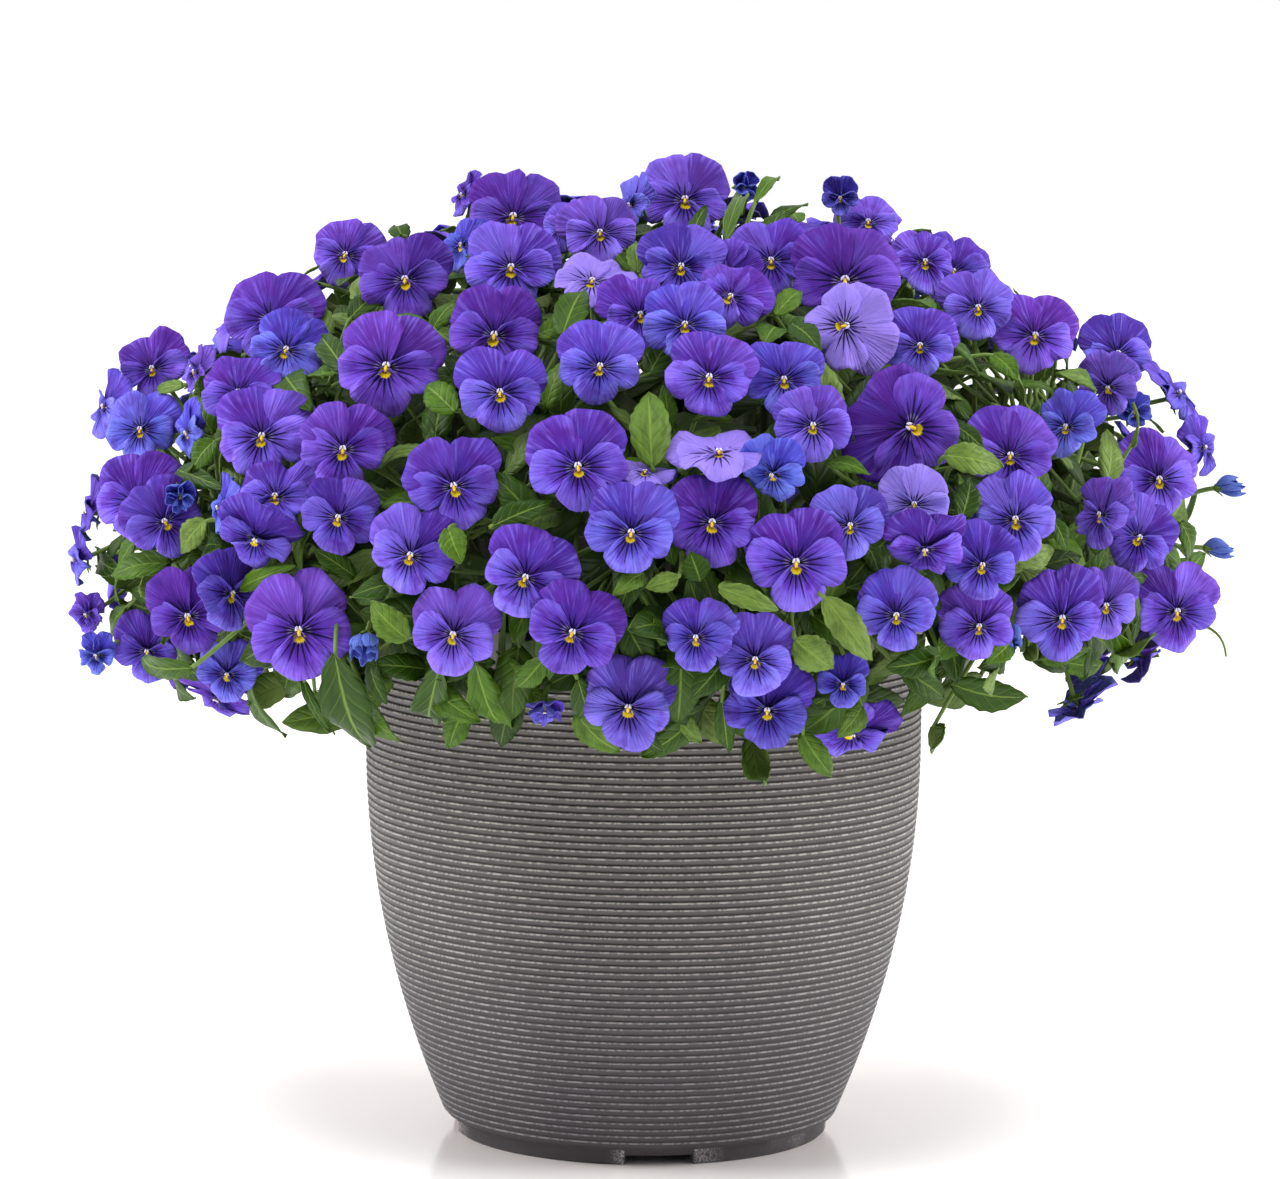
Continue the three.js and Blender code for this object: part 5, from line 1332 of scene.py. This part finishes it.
def make_stems(finishes):
    """One piece for each stem of the model, with everything that grows on it"""
    counts = {"spray": 0, "leafy_stem": 0}
    stems = place_everything()
    fillers = place_fillers(stems)
    stalk_bearer = closest(stems, from_photo(*LOOSE_STALK["from"], 0))
    for stem in stems:
        kind = "leafy_stem" if stem.leafy else "spray"
        counts[kind] += 1
        node = f"{kind}_{counts[kind]:02d}"
        chance = random.Random(node)
        growth = Growth()
        add_stem(growth, stem, chance)
        for bloom in stem.blooms:
            add_bloom(growth, bloom, chance)
        for leaf in stem.leaves:
            add_leaf(growth, leaf, chance)
        for owner, leaf, grid, shade in fillers:
            if owner is stem:
                add_leaf(growth, leaf, chance, grid, shade, FILLER_PETIOLE)
        if stem is stalk_bearer:
            add_loose_stalk(growth, chance)
        slot = "leaf" if stem.leafy else "petal"
        growth.piece(f"dressed_{node}", finishes, [node], slot)


def wall_radius(height):
    """Outer radius of the pot's plain wall at a height"""
    below = max(0, 1 - height / FLARE_HEIGHT)
    return POT_RADIUS - FOOT_FLARE * below**2


def inner_radius(height):
    return wall_radius(height) - RIB_RELIEF - POT_WALL


def ring(radius, heights, turns):
    """Points at the given turns about the upright axis"""
    return np.stack([radius * np.cos(turns), radius * np.sin(turns), heights], axis=1)


# A rib from the groove below it to the one above: how far up, how far out and how much white dry-brush and
# painted highlight it takes
RIB_SECTION = ((0, 0, 0), (0.18, 0.4, 0), (0.36, 0.82, 0), (0.62, 0.95, 0.3), (0.78, 1, 1), (0.92, 0.75, 0.7))

# From the last groove to the rim band: how far out of the pot's radius and above the ribs, in mm, and how
# far out of the grooves, from 0 to 1
BAND_SECTION = ((-RIB_RELIEF, 0, 0), (-0.5, 0.7, 0.8), (0, 1.6, 1))
# The rim band and the lip, up and over: how far out of the pot's radius and how far below its top, in mm
LIP_SECTION = (
    (0, 12.5),
    (0.5, 11.3),
    (LIP_OVERHANG - 0.4, 10.2),
    (LIP_OVERHANG, 9.4),
    (LIP_OVERHANG, EDGE_ROUNDING),
    (LIP_OVERHANG - 0.45, 0.45),
    (LIP_OVERHANG - EDGE_ROUNDING, 0),
    (1 - POT_WALL, 0),
    (-POT_WALL, 1),
)
INSIDE_HEIGHTS = (280, 235, 190, 150, 115, 82, 55, 32, POT_FLOOR)
AXIS_HOLE = 0.5


def pot_profile():
    """The pot's section from under its floor, out and up its ribs and down inside, with how far each point
    stands out of the grooves and how much white dry-brush and painted highlight it takes"""
    points = []

    def point(radius, height, crest=1.0, chalked_and_lit=0.0):
        points.append((radius, height, crest, chalked_and_lit))

    under = POT_FLOOR - POT_WALL
    inner_foot = FOOT_RING_RADIUS - FOOT_RING_WIDTH
    point(AXIS_HOLE, under)
    point(inner_foot, under)
    point(inner_foot, EDGE_ROUNDING)
    point(inner_foot + EDGE_ROUNDING, 0)
    point(FOOT_RING_RADIUS - EDGE_ROUNDING, 0)
    point(FOOT_RING_RADIUS, EDGE_ROUNDING)
    point(FOOT_RING_RADIUS, FOOT_RING_HEIGHT - 1)
    pitch = (RIB_BAND[1] - RIB_BAND[0]) / RIB_COUNT
    for rib in range(RIB_COUNT):
        for share, crest, chalked_and_lit in RIB_SECTION:
            height = RIB_BAND[0] + (rib + share) * pitch
            relief = RIB_RELIEF * mix(FOOT_RELIEF, 1, height / RIB_BAND[1])
            point(wall_radius(height) - relief * (1 - crest), height, crest, chalked_and_lit)
    for out, above, crest in BAND_SECTION:
        point(POT_RADIUS + out, RIB_BAND[1] + above, crest)
    for out, below in LIP_SECTION:
        point(POT_RADIUS + out, POT_HEIGHT - below)
    for height in INSIDE_HEIGHTS:
        point(inner_radius(height), height)
    point(AXIS_HOLE, POT_FLOOR)
    return points


def make_pot(finish):
    profile = pot_profile()
    turns = 2 * math.pi * np.arange(POT_SEGMENTS) / POT_SEGMENTS
    for corner in notch_corners():
        nearest = np.argsort(np.abs(apart_in_turn(turns, corner)))[:2]
        turns[np.sort(nearest)] = (corner - CORNER_WIDTH, corner + CORNER_WIDTH)
    turns %= 2 * math.pi
    rings = []
    marks = []
    for radius, height, crest, chalked_and_lit in profile:
        heights = np.full(POT_SEGMENTS, float(height))
        if height <= EDGE_ROUNDING and radius >= FOOT_RING_RADIUS - FOOT_RING_WIDTH:
            heights = heights + notch_rise(turns)
        rings.append(ring(radius, heights, turns))
        scuffs = corner_scuffs(turns) if height < FOOT_RING_HEIGHT else 0 * turns
        marks.append(np.stack([crest + 0 * turns, chalked_and_lit + 0 * turns, scuffs], axis=1))
    centres = [[0, 0, profile[0][1]], [0, 0, profile[-1][1]]]
    quads, fans = ring_faces(len(profile), POT_SEGMENTS)
    growth = Growth()
    run, tone, scuffs = np.concatenate([*marks, [[1, 0, 0], [1, 0, 0]]]).T
    growth.add(np.concatenate([*rings, centres]), quads, 0, fans, run=run, tone=tone, chance=scuffs)
    growth.piece("ribbed_pot", [finish], ["pot"], "pot")


# In radians about the pot: half a notch's corner, and how far the scuffs reach before and after a notch
CORNER_WIDTH = 0.002
SCUFF_REACHES = (0.07, 0.175)


def apart_in_turn(turns, corner):
    return (turns - corner + math.pi) % (2 * math.pi) - math.pi


def notch_corners():
    """The turns of the notches' corners, in pairs"""
    half = NOTCH["width"] / 2 / FOOT_RING_RADIUS
    corners = []
    for k in range(NOTCH["count"]):
        middle = -math.pi / 2 + NOTCH["offset"] / FOOT_RING_RADIUS + k * 2 * math.pi / NOTCH["count"]
        corners.extend([middle - half, middle + half])
    return corners


def notch_rise(turns):
    """How high the underside of the foot ring is lifted at its notches"""
    rise = np.zeros(len(turns))
    corners = notch_corners()
    for first, second in zip(corners[::2], corners[1::2]):
        within = (apart_in_turn(turns, first) > 0) & (apart_in_turn(turns, second) < 0)
        rise = np.where(within, NOTCH["height"], rise)
    return rise


def corner_scuffs(turns):
    """How scuffed the foot ring is, beside its notches"""
    scuffs = np.zeros(len(turns))
    for i, corner in enumerate(notch_corners()):
        after = i % 2
        outwards = apart_in_turn(turns, corner) * (1 if after else -1)
        reach = SCUFF_REACHES[after]
        scuffs = np.maximum(scuffs, np.where(outwards > 0, 1 - outwards / reach, 0))
    return scuffs


SOIL_RINGS = 46
SOIL_SEGMENTS = 120
SOIL_WALL_HEIGHTS = (POT_FLOOR + GAP, 55, 115, 190, 280)
CRUMBS = {"height": 1.1, "fading": 2.5}
SOIL_SWELL = {"height": 1.5, "lobes": 3, "twist": 0.1, "length": 23}
SOIL_MIDDLE = SOIL_TOP - 2


def make_soil(finish):
    """The soil: crumbs on top, and the pot's inside below"""
    chance = np.random.RandomState(SOIL_TOP)
    turns = 2 * math.pi * np.arange(SOIL_SEGMENTS) / SOIL_SEGMENTS
    rings = []
    for height in SOIL_WALL_HEIGHTS:
        rings.append(ring(inner_radius(height) - GAP, np.full(SOIL_SEGMENTS, float(height)), turns))
    for i in range(SOIL_RINGS):
        share = 1 - i / SOIL_RINGS
        radius = (inner_radius(SOIL_TOP) - GAP) * share
        crumb = chance.uniform(-1, 1, SOIL_SEGMENTS) * CRUMBS["height"] * min(1, share * CRUMBS["fading"])
        lobes = np.sin(SOIL_SWELL["lobes"] * turns + SOIL_SWELL["twist"] * radius)
        swell = SOIL_SWELL["height"] * lobes * np.sin(radius / SOIL_SWELL["length"]) * share
        rings.append(ring(radius, SOIL_MIDDLE + crumb + swell, turns))
    centres = [[0, 0, POT_FLOOR + GAP], [0, 0, SOIL_MIDDLE]]
    growth = Growth()
    quads, fans = ring_faces(len(rings), SOIL_SEGMENTS)
    growth.add(np.concatenate([*rings, centres]), quads, 0, fans)
    growth.piece("potting_soil", [finish], ["soil"], "soil")


def paint(red, green, blue):
    """A colour as the picture shows it, from 0 to 255, in the renderer's own scale, by the sRGB curve"""
    channels = [value / 255 for value in (red, green, blue)]
    linear = [c / 12.92 if c <= 0.04045 else ((c + 0.055) / 1.055) ** 2.4 for c in channels]
    return (*linear, 1)


class Value:
    """A number that varies over a surface, which works in Python expressions"""

    def __init__(self, finish, socket):
        self.finish = finish
        self.socket = socket

    def maths(self, operation, *numbers):
        return self.finish.node("ShaderNodeMath", {"operation": operation}, dict(enumerate(numbers)))

    def __add__(self, other):
        return self.maths("ADD", self, other)

    __radd__ = __add__

    def __sub__(self, other):
        return self.maths("SUBTRACT", self, other)

    def __rsub__(self, other):
        return self.maths("SUBTRACT", other, self)

    def __mul__(self, other):
        return self.maths("MULTIPLY", self, other)

    __rmul__ = __mul__

    def __truediv__(self, other):
        return self.maths("DIVIDE", self, other)

    def __rtruediv__(self, other):
        return self.maths("DIVIDE", other, self)

    def __abs__(self):
        return self.maths("ABSOLUTE", self)

    def part(self):
        """What it is past the whole number below it"""
        return self.maths("FRACT", self)

    def floor(self):
        return self.maths("FLOOR", self)

    def larger(self, other):
        return self.maths("MAXIMUM", self, other)

    def step(self, low, high):
        """0 where it is below low, 1 above high, and smooth between; low may be the higher one"""
        sockets = {"Value": self, "From Min": low, "From Max": high}
        return self.finish.node("ShaderNodeMapRange", {"interpolation_type": "SMOOTHSTEP"}, sockets)


class Nodes:
    """The shader of a material or a sky, and the nodes behind it"""

    def __init__(self, owner, shader, constants):
        owner.use_nodes = True
        self.tree = owner.node_tree
        self.shader = self.tree.nodes[shader]
        self.set(self.shader, constants)

    def set(self, node, sockets):
        for name, value in sockets.items():
            if isinstance(value, Value):
                self.tree.links.new(value.socket, node.inputs[name])
            else:
                node.inputs[name].default_value = value

    def node(self, kind, settings, sockets, output=0):
        made = self.tree.nodes.new(kind)
        for name, setting in settings.items():
            setattr(made, name, setting)
        self.set(made, sockets)
        return Value(self, made.outputs[output])


class Finish(Nodes):
    """A procedural material"""

    def __init__(self, name, **constants):
        self.material = bpy.data.materials.new(name)
        super().__init__(self.material, "Principled BSDF", constants)

    def marks(self, *names):
        return [self.node("ShaderNodeAttribute", {"attribute_name": name}, {}, "Fac") for name in names]

    def mix(self, share, first, second):
        return self.node("ShaderNodeMix", {"data_type": "RGBA"}, {0: share, 6: first, 7: second}, 2)

    def vector(self, *parts):
        return self.node("ShaderNodeCombineXYZ", {}, dict(enumerate(parts)))

    def noise(self, place, scale, detail=2.0):
        return self.node("ShaderNodeTexNoise", {}, {"Vector": place, "Scale": scale, "Detail": detail})

    def place(self):
        return self.node("ShaderNodeTexCoord", {}, {}, "Object")

    def bump(self, height, strength, distance):
        sockets = {"Height": height, "Strength": strength, "Distance": distance}
        self.surface(Normal=self.node("ShaderNodeBump", {}, sockets))

    def surface(self, **sockets):
        self.set(self.shader, {name.replace("_", " "): value for name, value in sockets.items()})


# Petals: each pair goes from a violet bloom to a blue one, and the yellow from the throat out
LOWER_PETALS = paint(112, 60, 210), paint(86, 104, 228)
UPPER_PETALS = paint(97, 33, 162), paint(74, 66, 202)
PALE_PETAL = paint(154, 116, 248), paint(134, 150, 252)
DEEP_PETAL = paint(58, 19, 116), paint(45, 43, 150)
PETAL_BACK = paint(112, 92, 188), paint(96, 120, 206)
PETAL_YELLOW = paint(240, 180, 14), paint(255, 222, 28)
FADED_LILAC = paint(158, 136, 232)
PETAL_GLOW = paint(205, 190, 246)
WHISKER_INK = paint(20, 8, 62)


def petal_finish():
    """Violet to blue, deeper towards the throat, with whiskers on the lower petals and a yellow lip"""
    finish = Finish("petal", **{"Specular IOR Level": 0.12})
    run, side, tone, lip = finish.marks("run", "side", "tone", "lip")
    upper, back, chance, faded = finish.marks("upper", "back", "chance", "shade")
    wobble = finish.noise(finish.vector(side * 3, run * 2, chance * 40), 1.0) - 0.5
    patch = finish.noise(finish.vector(side * 1.2, run * 1.6, chance * 70), 1.3) - 0.5
    tone = tone + patch * 0.9

    low = finish.mix(tone, *LOWER_PETALS)
    high = finish.mix(tone, *UPPER_PETALS)
    colour = finish.mix(upper, low, high)
    pale = finish.mix(tone, *PALE_PETAL)
    margin = (run + patch * 0.6).step(0.4, 1.0) * (0.48 + lip * 0.3) * (1 - upper * 0.75)
    colour = finish.mix(margin, colour, pale)
    deep = finish.mix(tone, *DEEP_PETAL)
    inner = (run + patch * 0.4).step(0.7, 0.15) * 0.7
    colour = finish.mix(inner, colour, deep)
    grain = finish.noise(finish.vector(side * 24, run * 2.2, chance * 30), 1.0, 3.0)
    colour = finish.mix(grain.step(0.4, 0.72) * 0.42, colour, deep)
    colour = finish.mix(chance.step(0.5, 1.0) * (0.36 + upper * 0.3), colour, deep)
    colour = finish.mix(chance.step(0.4, 0.0) * 0.3, colour, pale)
    folds = finish.noise(finish.vector(side * 14, run * 1.5, chance * 20), 1.0, 2.0)
    # Painted highlight on the folds' ridges and painted shade in their valleys, from the same noise that
    # bumps them
    colour = finish.mix(folds.step(0.5, 0.72) * (1 - inner) * 0.42, colour, pale)
    colour = finish.mix(folds.step(0.46, 0.3) * 0.35, colour, deep)
    colour = finish.mix(patch.step(-0.02, -0.2) * 0.35, colour, deep)
    colour = finish.mix(faded.step(0, 1) * 0.75, colour, FADED_LILAC)
    colour = finish.mix(faded.step(0, -1) * 0.7, colour, deep)

    lines = 6 + lip * 2
    cell = (side * 0.5 + 0.5 + wobble * 0.05 * run) * lines
    off_line = abs(cell.part() - 0.5) * 2
    line_chance = finish.node("ShaderNodeTexWhiteNoise", {"noise_dimensions": "2D"},
                              {"Vector": finish.vector(cell.floor(), chance * 50, 0)})
    length = (0.5 + line_chance * 0.28 - side * side * 0.22) * (1 - upper * 0.45)
    fade = (run / length).step(1.05, 0.4)
    width = (0.17 + 0.05 * lip) / (run + 0.12) * (0.25 + 0.75 * fade)
    whisker = (off_line / width).step(1.25, 0.7) * (run / length).step(1.04, 0.94)
    glow = run.step(0.24, 0.1) * (1 - upper) * 0.55
    colour = finish.mix(glow, colour, PETAL_GLOW)
    colour = finish.mix(whisker * 0.96, colour, WHISKER_INK)

    ragged = finish.noise(finish.vector(side * 11, run * 7, chance * 40), 1.0) - 0.5
    fan = (run + side * side * 0.05 + ragged * 0.11).step(0.195, 0.16) * lip
    yellow = finish.mix(run.step(0.03, 0.1), *PETAL_YELLOW)
    colour = finish.mix(fan, colour, yellow)

    colour = finish.mix(back * 0.9, colour, finish.mix(tone, *PETAL_BACK))
    finish.bump(folds + grain * 0.4, 0.8, 0.002)
    finish.surface(Base_Color=colour, Roughness=0.6 + grain * 0.14)
    return finish.material


# Leaves: the pairs go from a fresh leaf to a greyish one
LEAF_BRIGHT = paint(70, 106, 4), paint(108, 132, 58)
LEAF_BACK = paint(84, 112, 40), paint(118, 142, 68)
LEAF_DARK = paint(38, 68, 1)
LEAF_BLOTCH = paint(28, 50, 1)
LEAF_VEIN = paint(122, 150, 58)
# Painted shade for leaves deep inside the planting
LEAF_PAINTED_SHADE = paint(22, 40, 2)


def leaf_finish():
    """Blotched greens with a pale midrib and slanting veins"""
    finish = Finish("leaf", **{"Specular IOR Level": 0.2})
    run, side, tone, back, chance, shade = finish.marks("run", "side", "tone", "back", "chance", "shade")
    blotch = finish.noise(finish.vector(side * 1.4, run * 2, chance * 60), 2.2, 3.0)
    bright = finish.mix(tone.step(0.65, 1.0), *LEAF_BRIGHT)
    colour = finish.mix(tone.step(0.1, 0.7), LEAF_DARK, bright)
    colour = finish.mix(blotch.step(0.35, 0.75) * 0.55, colour, LEAF_BLOTCH)
    slant = run * TEETH - abs(side) * 1.5
    vein_line = abs(slant.part() - 0.5) * 2
    veins = vein_line.step(0.13, 0.03) * abs(side).step(0.97, 0.6) * 0.24
    midrib = abs(side).step(0.1, 0.02) * run.step(1.0, 0.85)
    colour = finish.mix(veins.larger(midrib * 0.65), colour, LEAF_VEIN)
    colour = finish.mix(back, colour, finish.mix(tone, *LEAF_BACK))
    # Painted shade, darker the deeper a leaf lies in the planting
    colour = finish.mix(shade * 0.8, colour, LEAF_PAINTED_SHADE)
    quilt = vein_line.step(0.0, 0.5) + blotch * 0.5 - midrib
    finish.bump(quilt, 0.32, 0.0012)
    finish.surface(Base_Color=colour, Roughness=0.36 + blotch * 0.25)
    return finish.material


STALK_GREENS = paint(54, 70, 22), paint(118, 148, 62)
STALK_STREAK = paint(82, 104, 42)
# Painted shade for stems and for the petioles of leaves deep in the planting
STALK_PAINTED_SHADE = paint(24, 34, 10)


def stalk_finish():
    finish = Finish("stalk", **{"Specular IOR Level": 0.35})
    tone, chance, shade = finish.marks("tone", "chance", "shade")
    streak = finish.noise(finish.place(), 220.0, 2.0)
    colour = finish.mix(tone, *STALK_GREENS)
    colour = finish.mix(streak.step(0.4, 0.8) * 0.5 + chance * 0.15, colour, STALK_STREAK)
    # Painted shade, for stems and for the petioles of leaves deep in the planting
    colour = finish.mix(shade * 0.8, colour, STALK_PAINTED_SHADE)
    finish.bump(streak, 0.3, 0.0005)
    finish.surface(Base_Color=colour, Roughness=0.5 + streak * 0.15)
    return finish.material


BEARD_PALE = paint(196, 184, 226), paint(240, 237, 248)
BEARD_YELLOW = paint(240, 188, 16), paint(255, 224, 34)


def beard_finish():
    """Pale for the tufts, and yellow for the knob between them"""
    finish = Finish("beard", **{"Sheen Weight": 0.5})
    (tone,) = finish.marks("tone")
    tuft = finish.noise(finish.place(), 1600.0, 2.0)
    finish.bump(tuft, 0.8, 0.0006)
    colour = finish.mix(tone, finish.mix(tuft, *BEARD_PALE), finish.mix(tuft, *BEARD_YELLOW))
    finish.surface(Base_Color=colour, Roughness=0.85)
    return finish.material


# The pot: the wall from its foot to its upper part and its top, lighter towards the top partly as its own
# tone and partly as painted light; the pairs go from the foot up
POT_WALLS = paint(58, 54, 59), paint(76, 71, 70)
POT_TOP = paint(98, 93, 87)
# Painted shade in the grooves between the ribs, deeper towards the top
POT_GROOVE_SHADE = paint(46, 42, 46), paint(26, 23, 22)
POT_SMEAR = paint(72, 68, 68)
# White dry-brush on the crests, partly real and partly painted highlight, brighter towards the top
POT_CHALK_AND_HIGHLIGHT = paint(172, 167, 170), paint(208, 204, 198)


def pot_finish():
    """Dark plastic with chalky crests that are partly painted highlight, painted shade in its grooves, and
    scuffs on the foot ring
    """
    finish = Finish("weathered_plastic", **{"Specular IOR Level": 0.5})
    crest, chalked_and_lit, corner = finish.marks("run", "tone", "chance")
    place = finish.place()
    height = finish.node("ShaderNodeSeparateXYZ", {}, {"Vector": place}, "Z")
    dashes = finish.noise(place, 430.0, 2.0)
    grit = finish.noise(place, 900.0, 2.0)
    smear = finish.noise(place, 16.0, 3.0)
    # Lighter towards the top: partly the plastic's own tone, partly painted light and shade
    wall = finish.mix(height.step(0.03, 0.22), *POT_WALLS)
    wall = finish.mix(height.step(0.19, 0.31), wall, POT_TOP)
    # Painted shade in the grooves
    groove = finish.mix(height.step(0.0, 0.2), *POT_GROOVE_SHADE)
    colour = finish.mix(crest.step(0.1, 0.8), groove, wall)
    colour = finish.mix(smear.step(0.3, 0.75) * 0.3, colour, POT_SMEAR)
    # White dry-brush on the crests' upper faces, partly painted highlight, stronger towards the top
    chalk_and_highlight_colour = finish.mix(height.step(0.0, 0.2), *POT_CHALK_AND_HIGHLIGHT)
    chalk_and_highlight = chalked_and_lit.step(0.3, 0.95) * (0.26 + dashes.step(0.42, 0.6) * 0.54) * (0.8 + smear * 0.4)
    colour = finish.mix(chalk_and_highlight * (0.6 + height.step(0.02, 0.28) * 0.45), colour, chalk_and_highlight_colour)
    ragged = grit.step(0.3, 0.8) * height.step(0.0095, 0.008)
    scuffed = (smear.step(0.6, 0.7) * 0.5 + corner * smear.step(0.3, 0.5) * 1.6) * ragged
    colour = finish.mix(scuffed, colour, chalk_and_highlight_colour)
    finish.bump(grit, 0.3, 0.0006)
    finish.surface(Base_Color=colour, Roughness=0.46 + grit * 0.2)
    return finish.material


SOIL_BROWNS = paint(24, 17, 11), paint(70, 52, 38)


def soil_finish():
    finish = Finish("potting_soil")
    crumbs = finish.noise(finish.place(), 180.0, 6.0)
    finish.bump(crumbs, 1.0, 0.004)
    finish.surface(Base_Color=finish.mix(crumbs.step(0.35, 0.7), *SOIL_BROWNS), Roughness=0.95)
    return finish.material


# The painted pinkish shadow round the pot: its middle, and its colour near the pot and far off
FLOOR_SHADOW_MIDDLE = (0, 0.08, 0)
FLOOR_SHADOW_TO_WHITE = paint(252, 243, 242), paint(254, 254, 254)
FLOOR_GLOW = paint(0, 0, 0), paint(255, 255, 255)


def floor_finish():
    """White and a little glossy, with a painted pinkish shadow round the back of the pot"""
    finish = Finish("pale_floor", **{"Specular IOR Level": 0.5, "Emission Strength": 0.3, "Roughness": 0.15})
    places = {0: finish.place(), 1: FLOOR_SHADOW_MIDDLE}
    away = finish.node("ShaderNodeVectorMath", {"operation": "DISTANCE"}, places, "Value")
    finish.surface(
        Base_Color=finish.mix(away.step(0.13, 0.32), *FLOOR_SHADOW_TO_WHITE),
        Emission_Color=finish.mix(away.step(0.18, 0.3), *FLOOR_GLOW),
    )
    return finish.material


CLIP_END = 100
FLOOR_SIZE = 40


def set_up(name, data, place, across, above, back):
    """A camera or lamp at its place, which looks away from its back"""
    thing = bpy.data.objects.new(name, data)
    turn = Matrix((across, above, back)).transposed()
    thing.matrix_world = Matrix.Translation(place) @ turn.to_4x4()
    bpy.context.collection.objects.link(thing)
    return thing


def make_camera():
    """The camera stands where the photograph was taken from"""
    data = bpy.data.cameras.new("camera")
    data.sensor_width = SENSOR_WIDTH
    data.lens = FOCAL * SENSOR_WIDTH / IMAGE_WIDTH
    data.clip_end = CLIP_END
    right = vector(1, 0, 0)
    across = right * math.cos(ROLL) + UPWARDS * math.sin(ROLL)
    above = UPWARDS * math.cos(ROLL) - right * math.sin(ROLL)
    bpy.context.scene.camera = set_up("camera", data, EYE * MM, across, above, -AHEAD)


def make_floor():
    bpy.ops.mesh.primitive_plane_add(size=FLOOR_SIZE)
    floor = bpy.context.object
    floor.name = "floor"
    floor.data.materials.append(floor_finish())


LIGHTS = (
    {"name": "left", "at": (-2.4, -0.1, 1.5), "size": 1.6, "power": 52, "colour": (1, 0.99, 0.97)},
    {"name": "right", "at": (2.4, -0.1, 1.3), "size": 1.6, "power": 50, "colour": (1, 0.99, 0.97)},
    {"name": "top", "at": (-0.3, -1.2, 2.8), "size": 1.6, "power": 34, "colour": (1, 1, 1)},
)
SKY = {"front": 0.32, "back": 1.0}
AIM = vector(0, 0, 0.33)


def make_lights():
    for light in LIGHTS:
        data = bpy.data.lights.new(light["name"], "AREA")
        data.shape = "DISK"
        data.size = light["size"]
        data.energy = light["power"]
        data.color = light["colour"]
        place = vector(*light["at"])
        back = pointing(AIM, place)
        across = unit(np.cross(UP, back))
        set_up(light["name"], data, place, across, np.cross(back, across), back)


def make_sky():
    """White behind the planter and dimmer on the viewer's side"""
    world = bpy.data.worlds.new("studio")
    sky = Nodes(world, "Background", {"Color": (1, 1, 1, 1)})
    way = sky.node("ShaderNodeTexCoord", {}, {}, "Generated")
    ahead = sky.node("ShaderNodeSeparateXYZ", {}, {"Vector": way}, "Y")
    shares = {"Value": ahead, "From Min": -1, "From Max": 0, "To Min": SKY["front"], "To Max": SKY["back"]}
    strength = sky.node("ShaderNodeMapRange", {"interpolation_type": "SMOOTHSTEP"}, shares)
    sky.set(sky.shader, {"Strength": strength})
    bpy.context.scene.world = world


make_camera()
make_floor()
make_lights()
make_sky()
bpy.context.scene.view_settings.view_transform = "Standard"

make_pot(pot_finish())
make_soil(soil_finish())
make_stems([petal_finish(), stalk_finish(), beard_finish(), leaf_finish()])
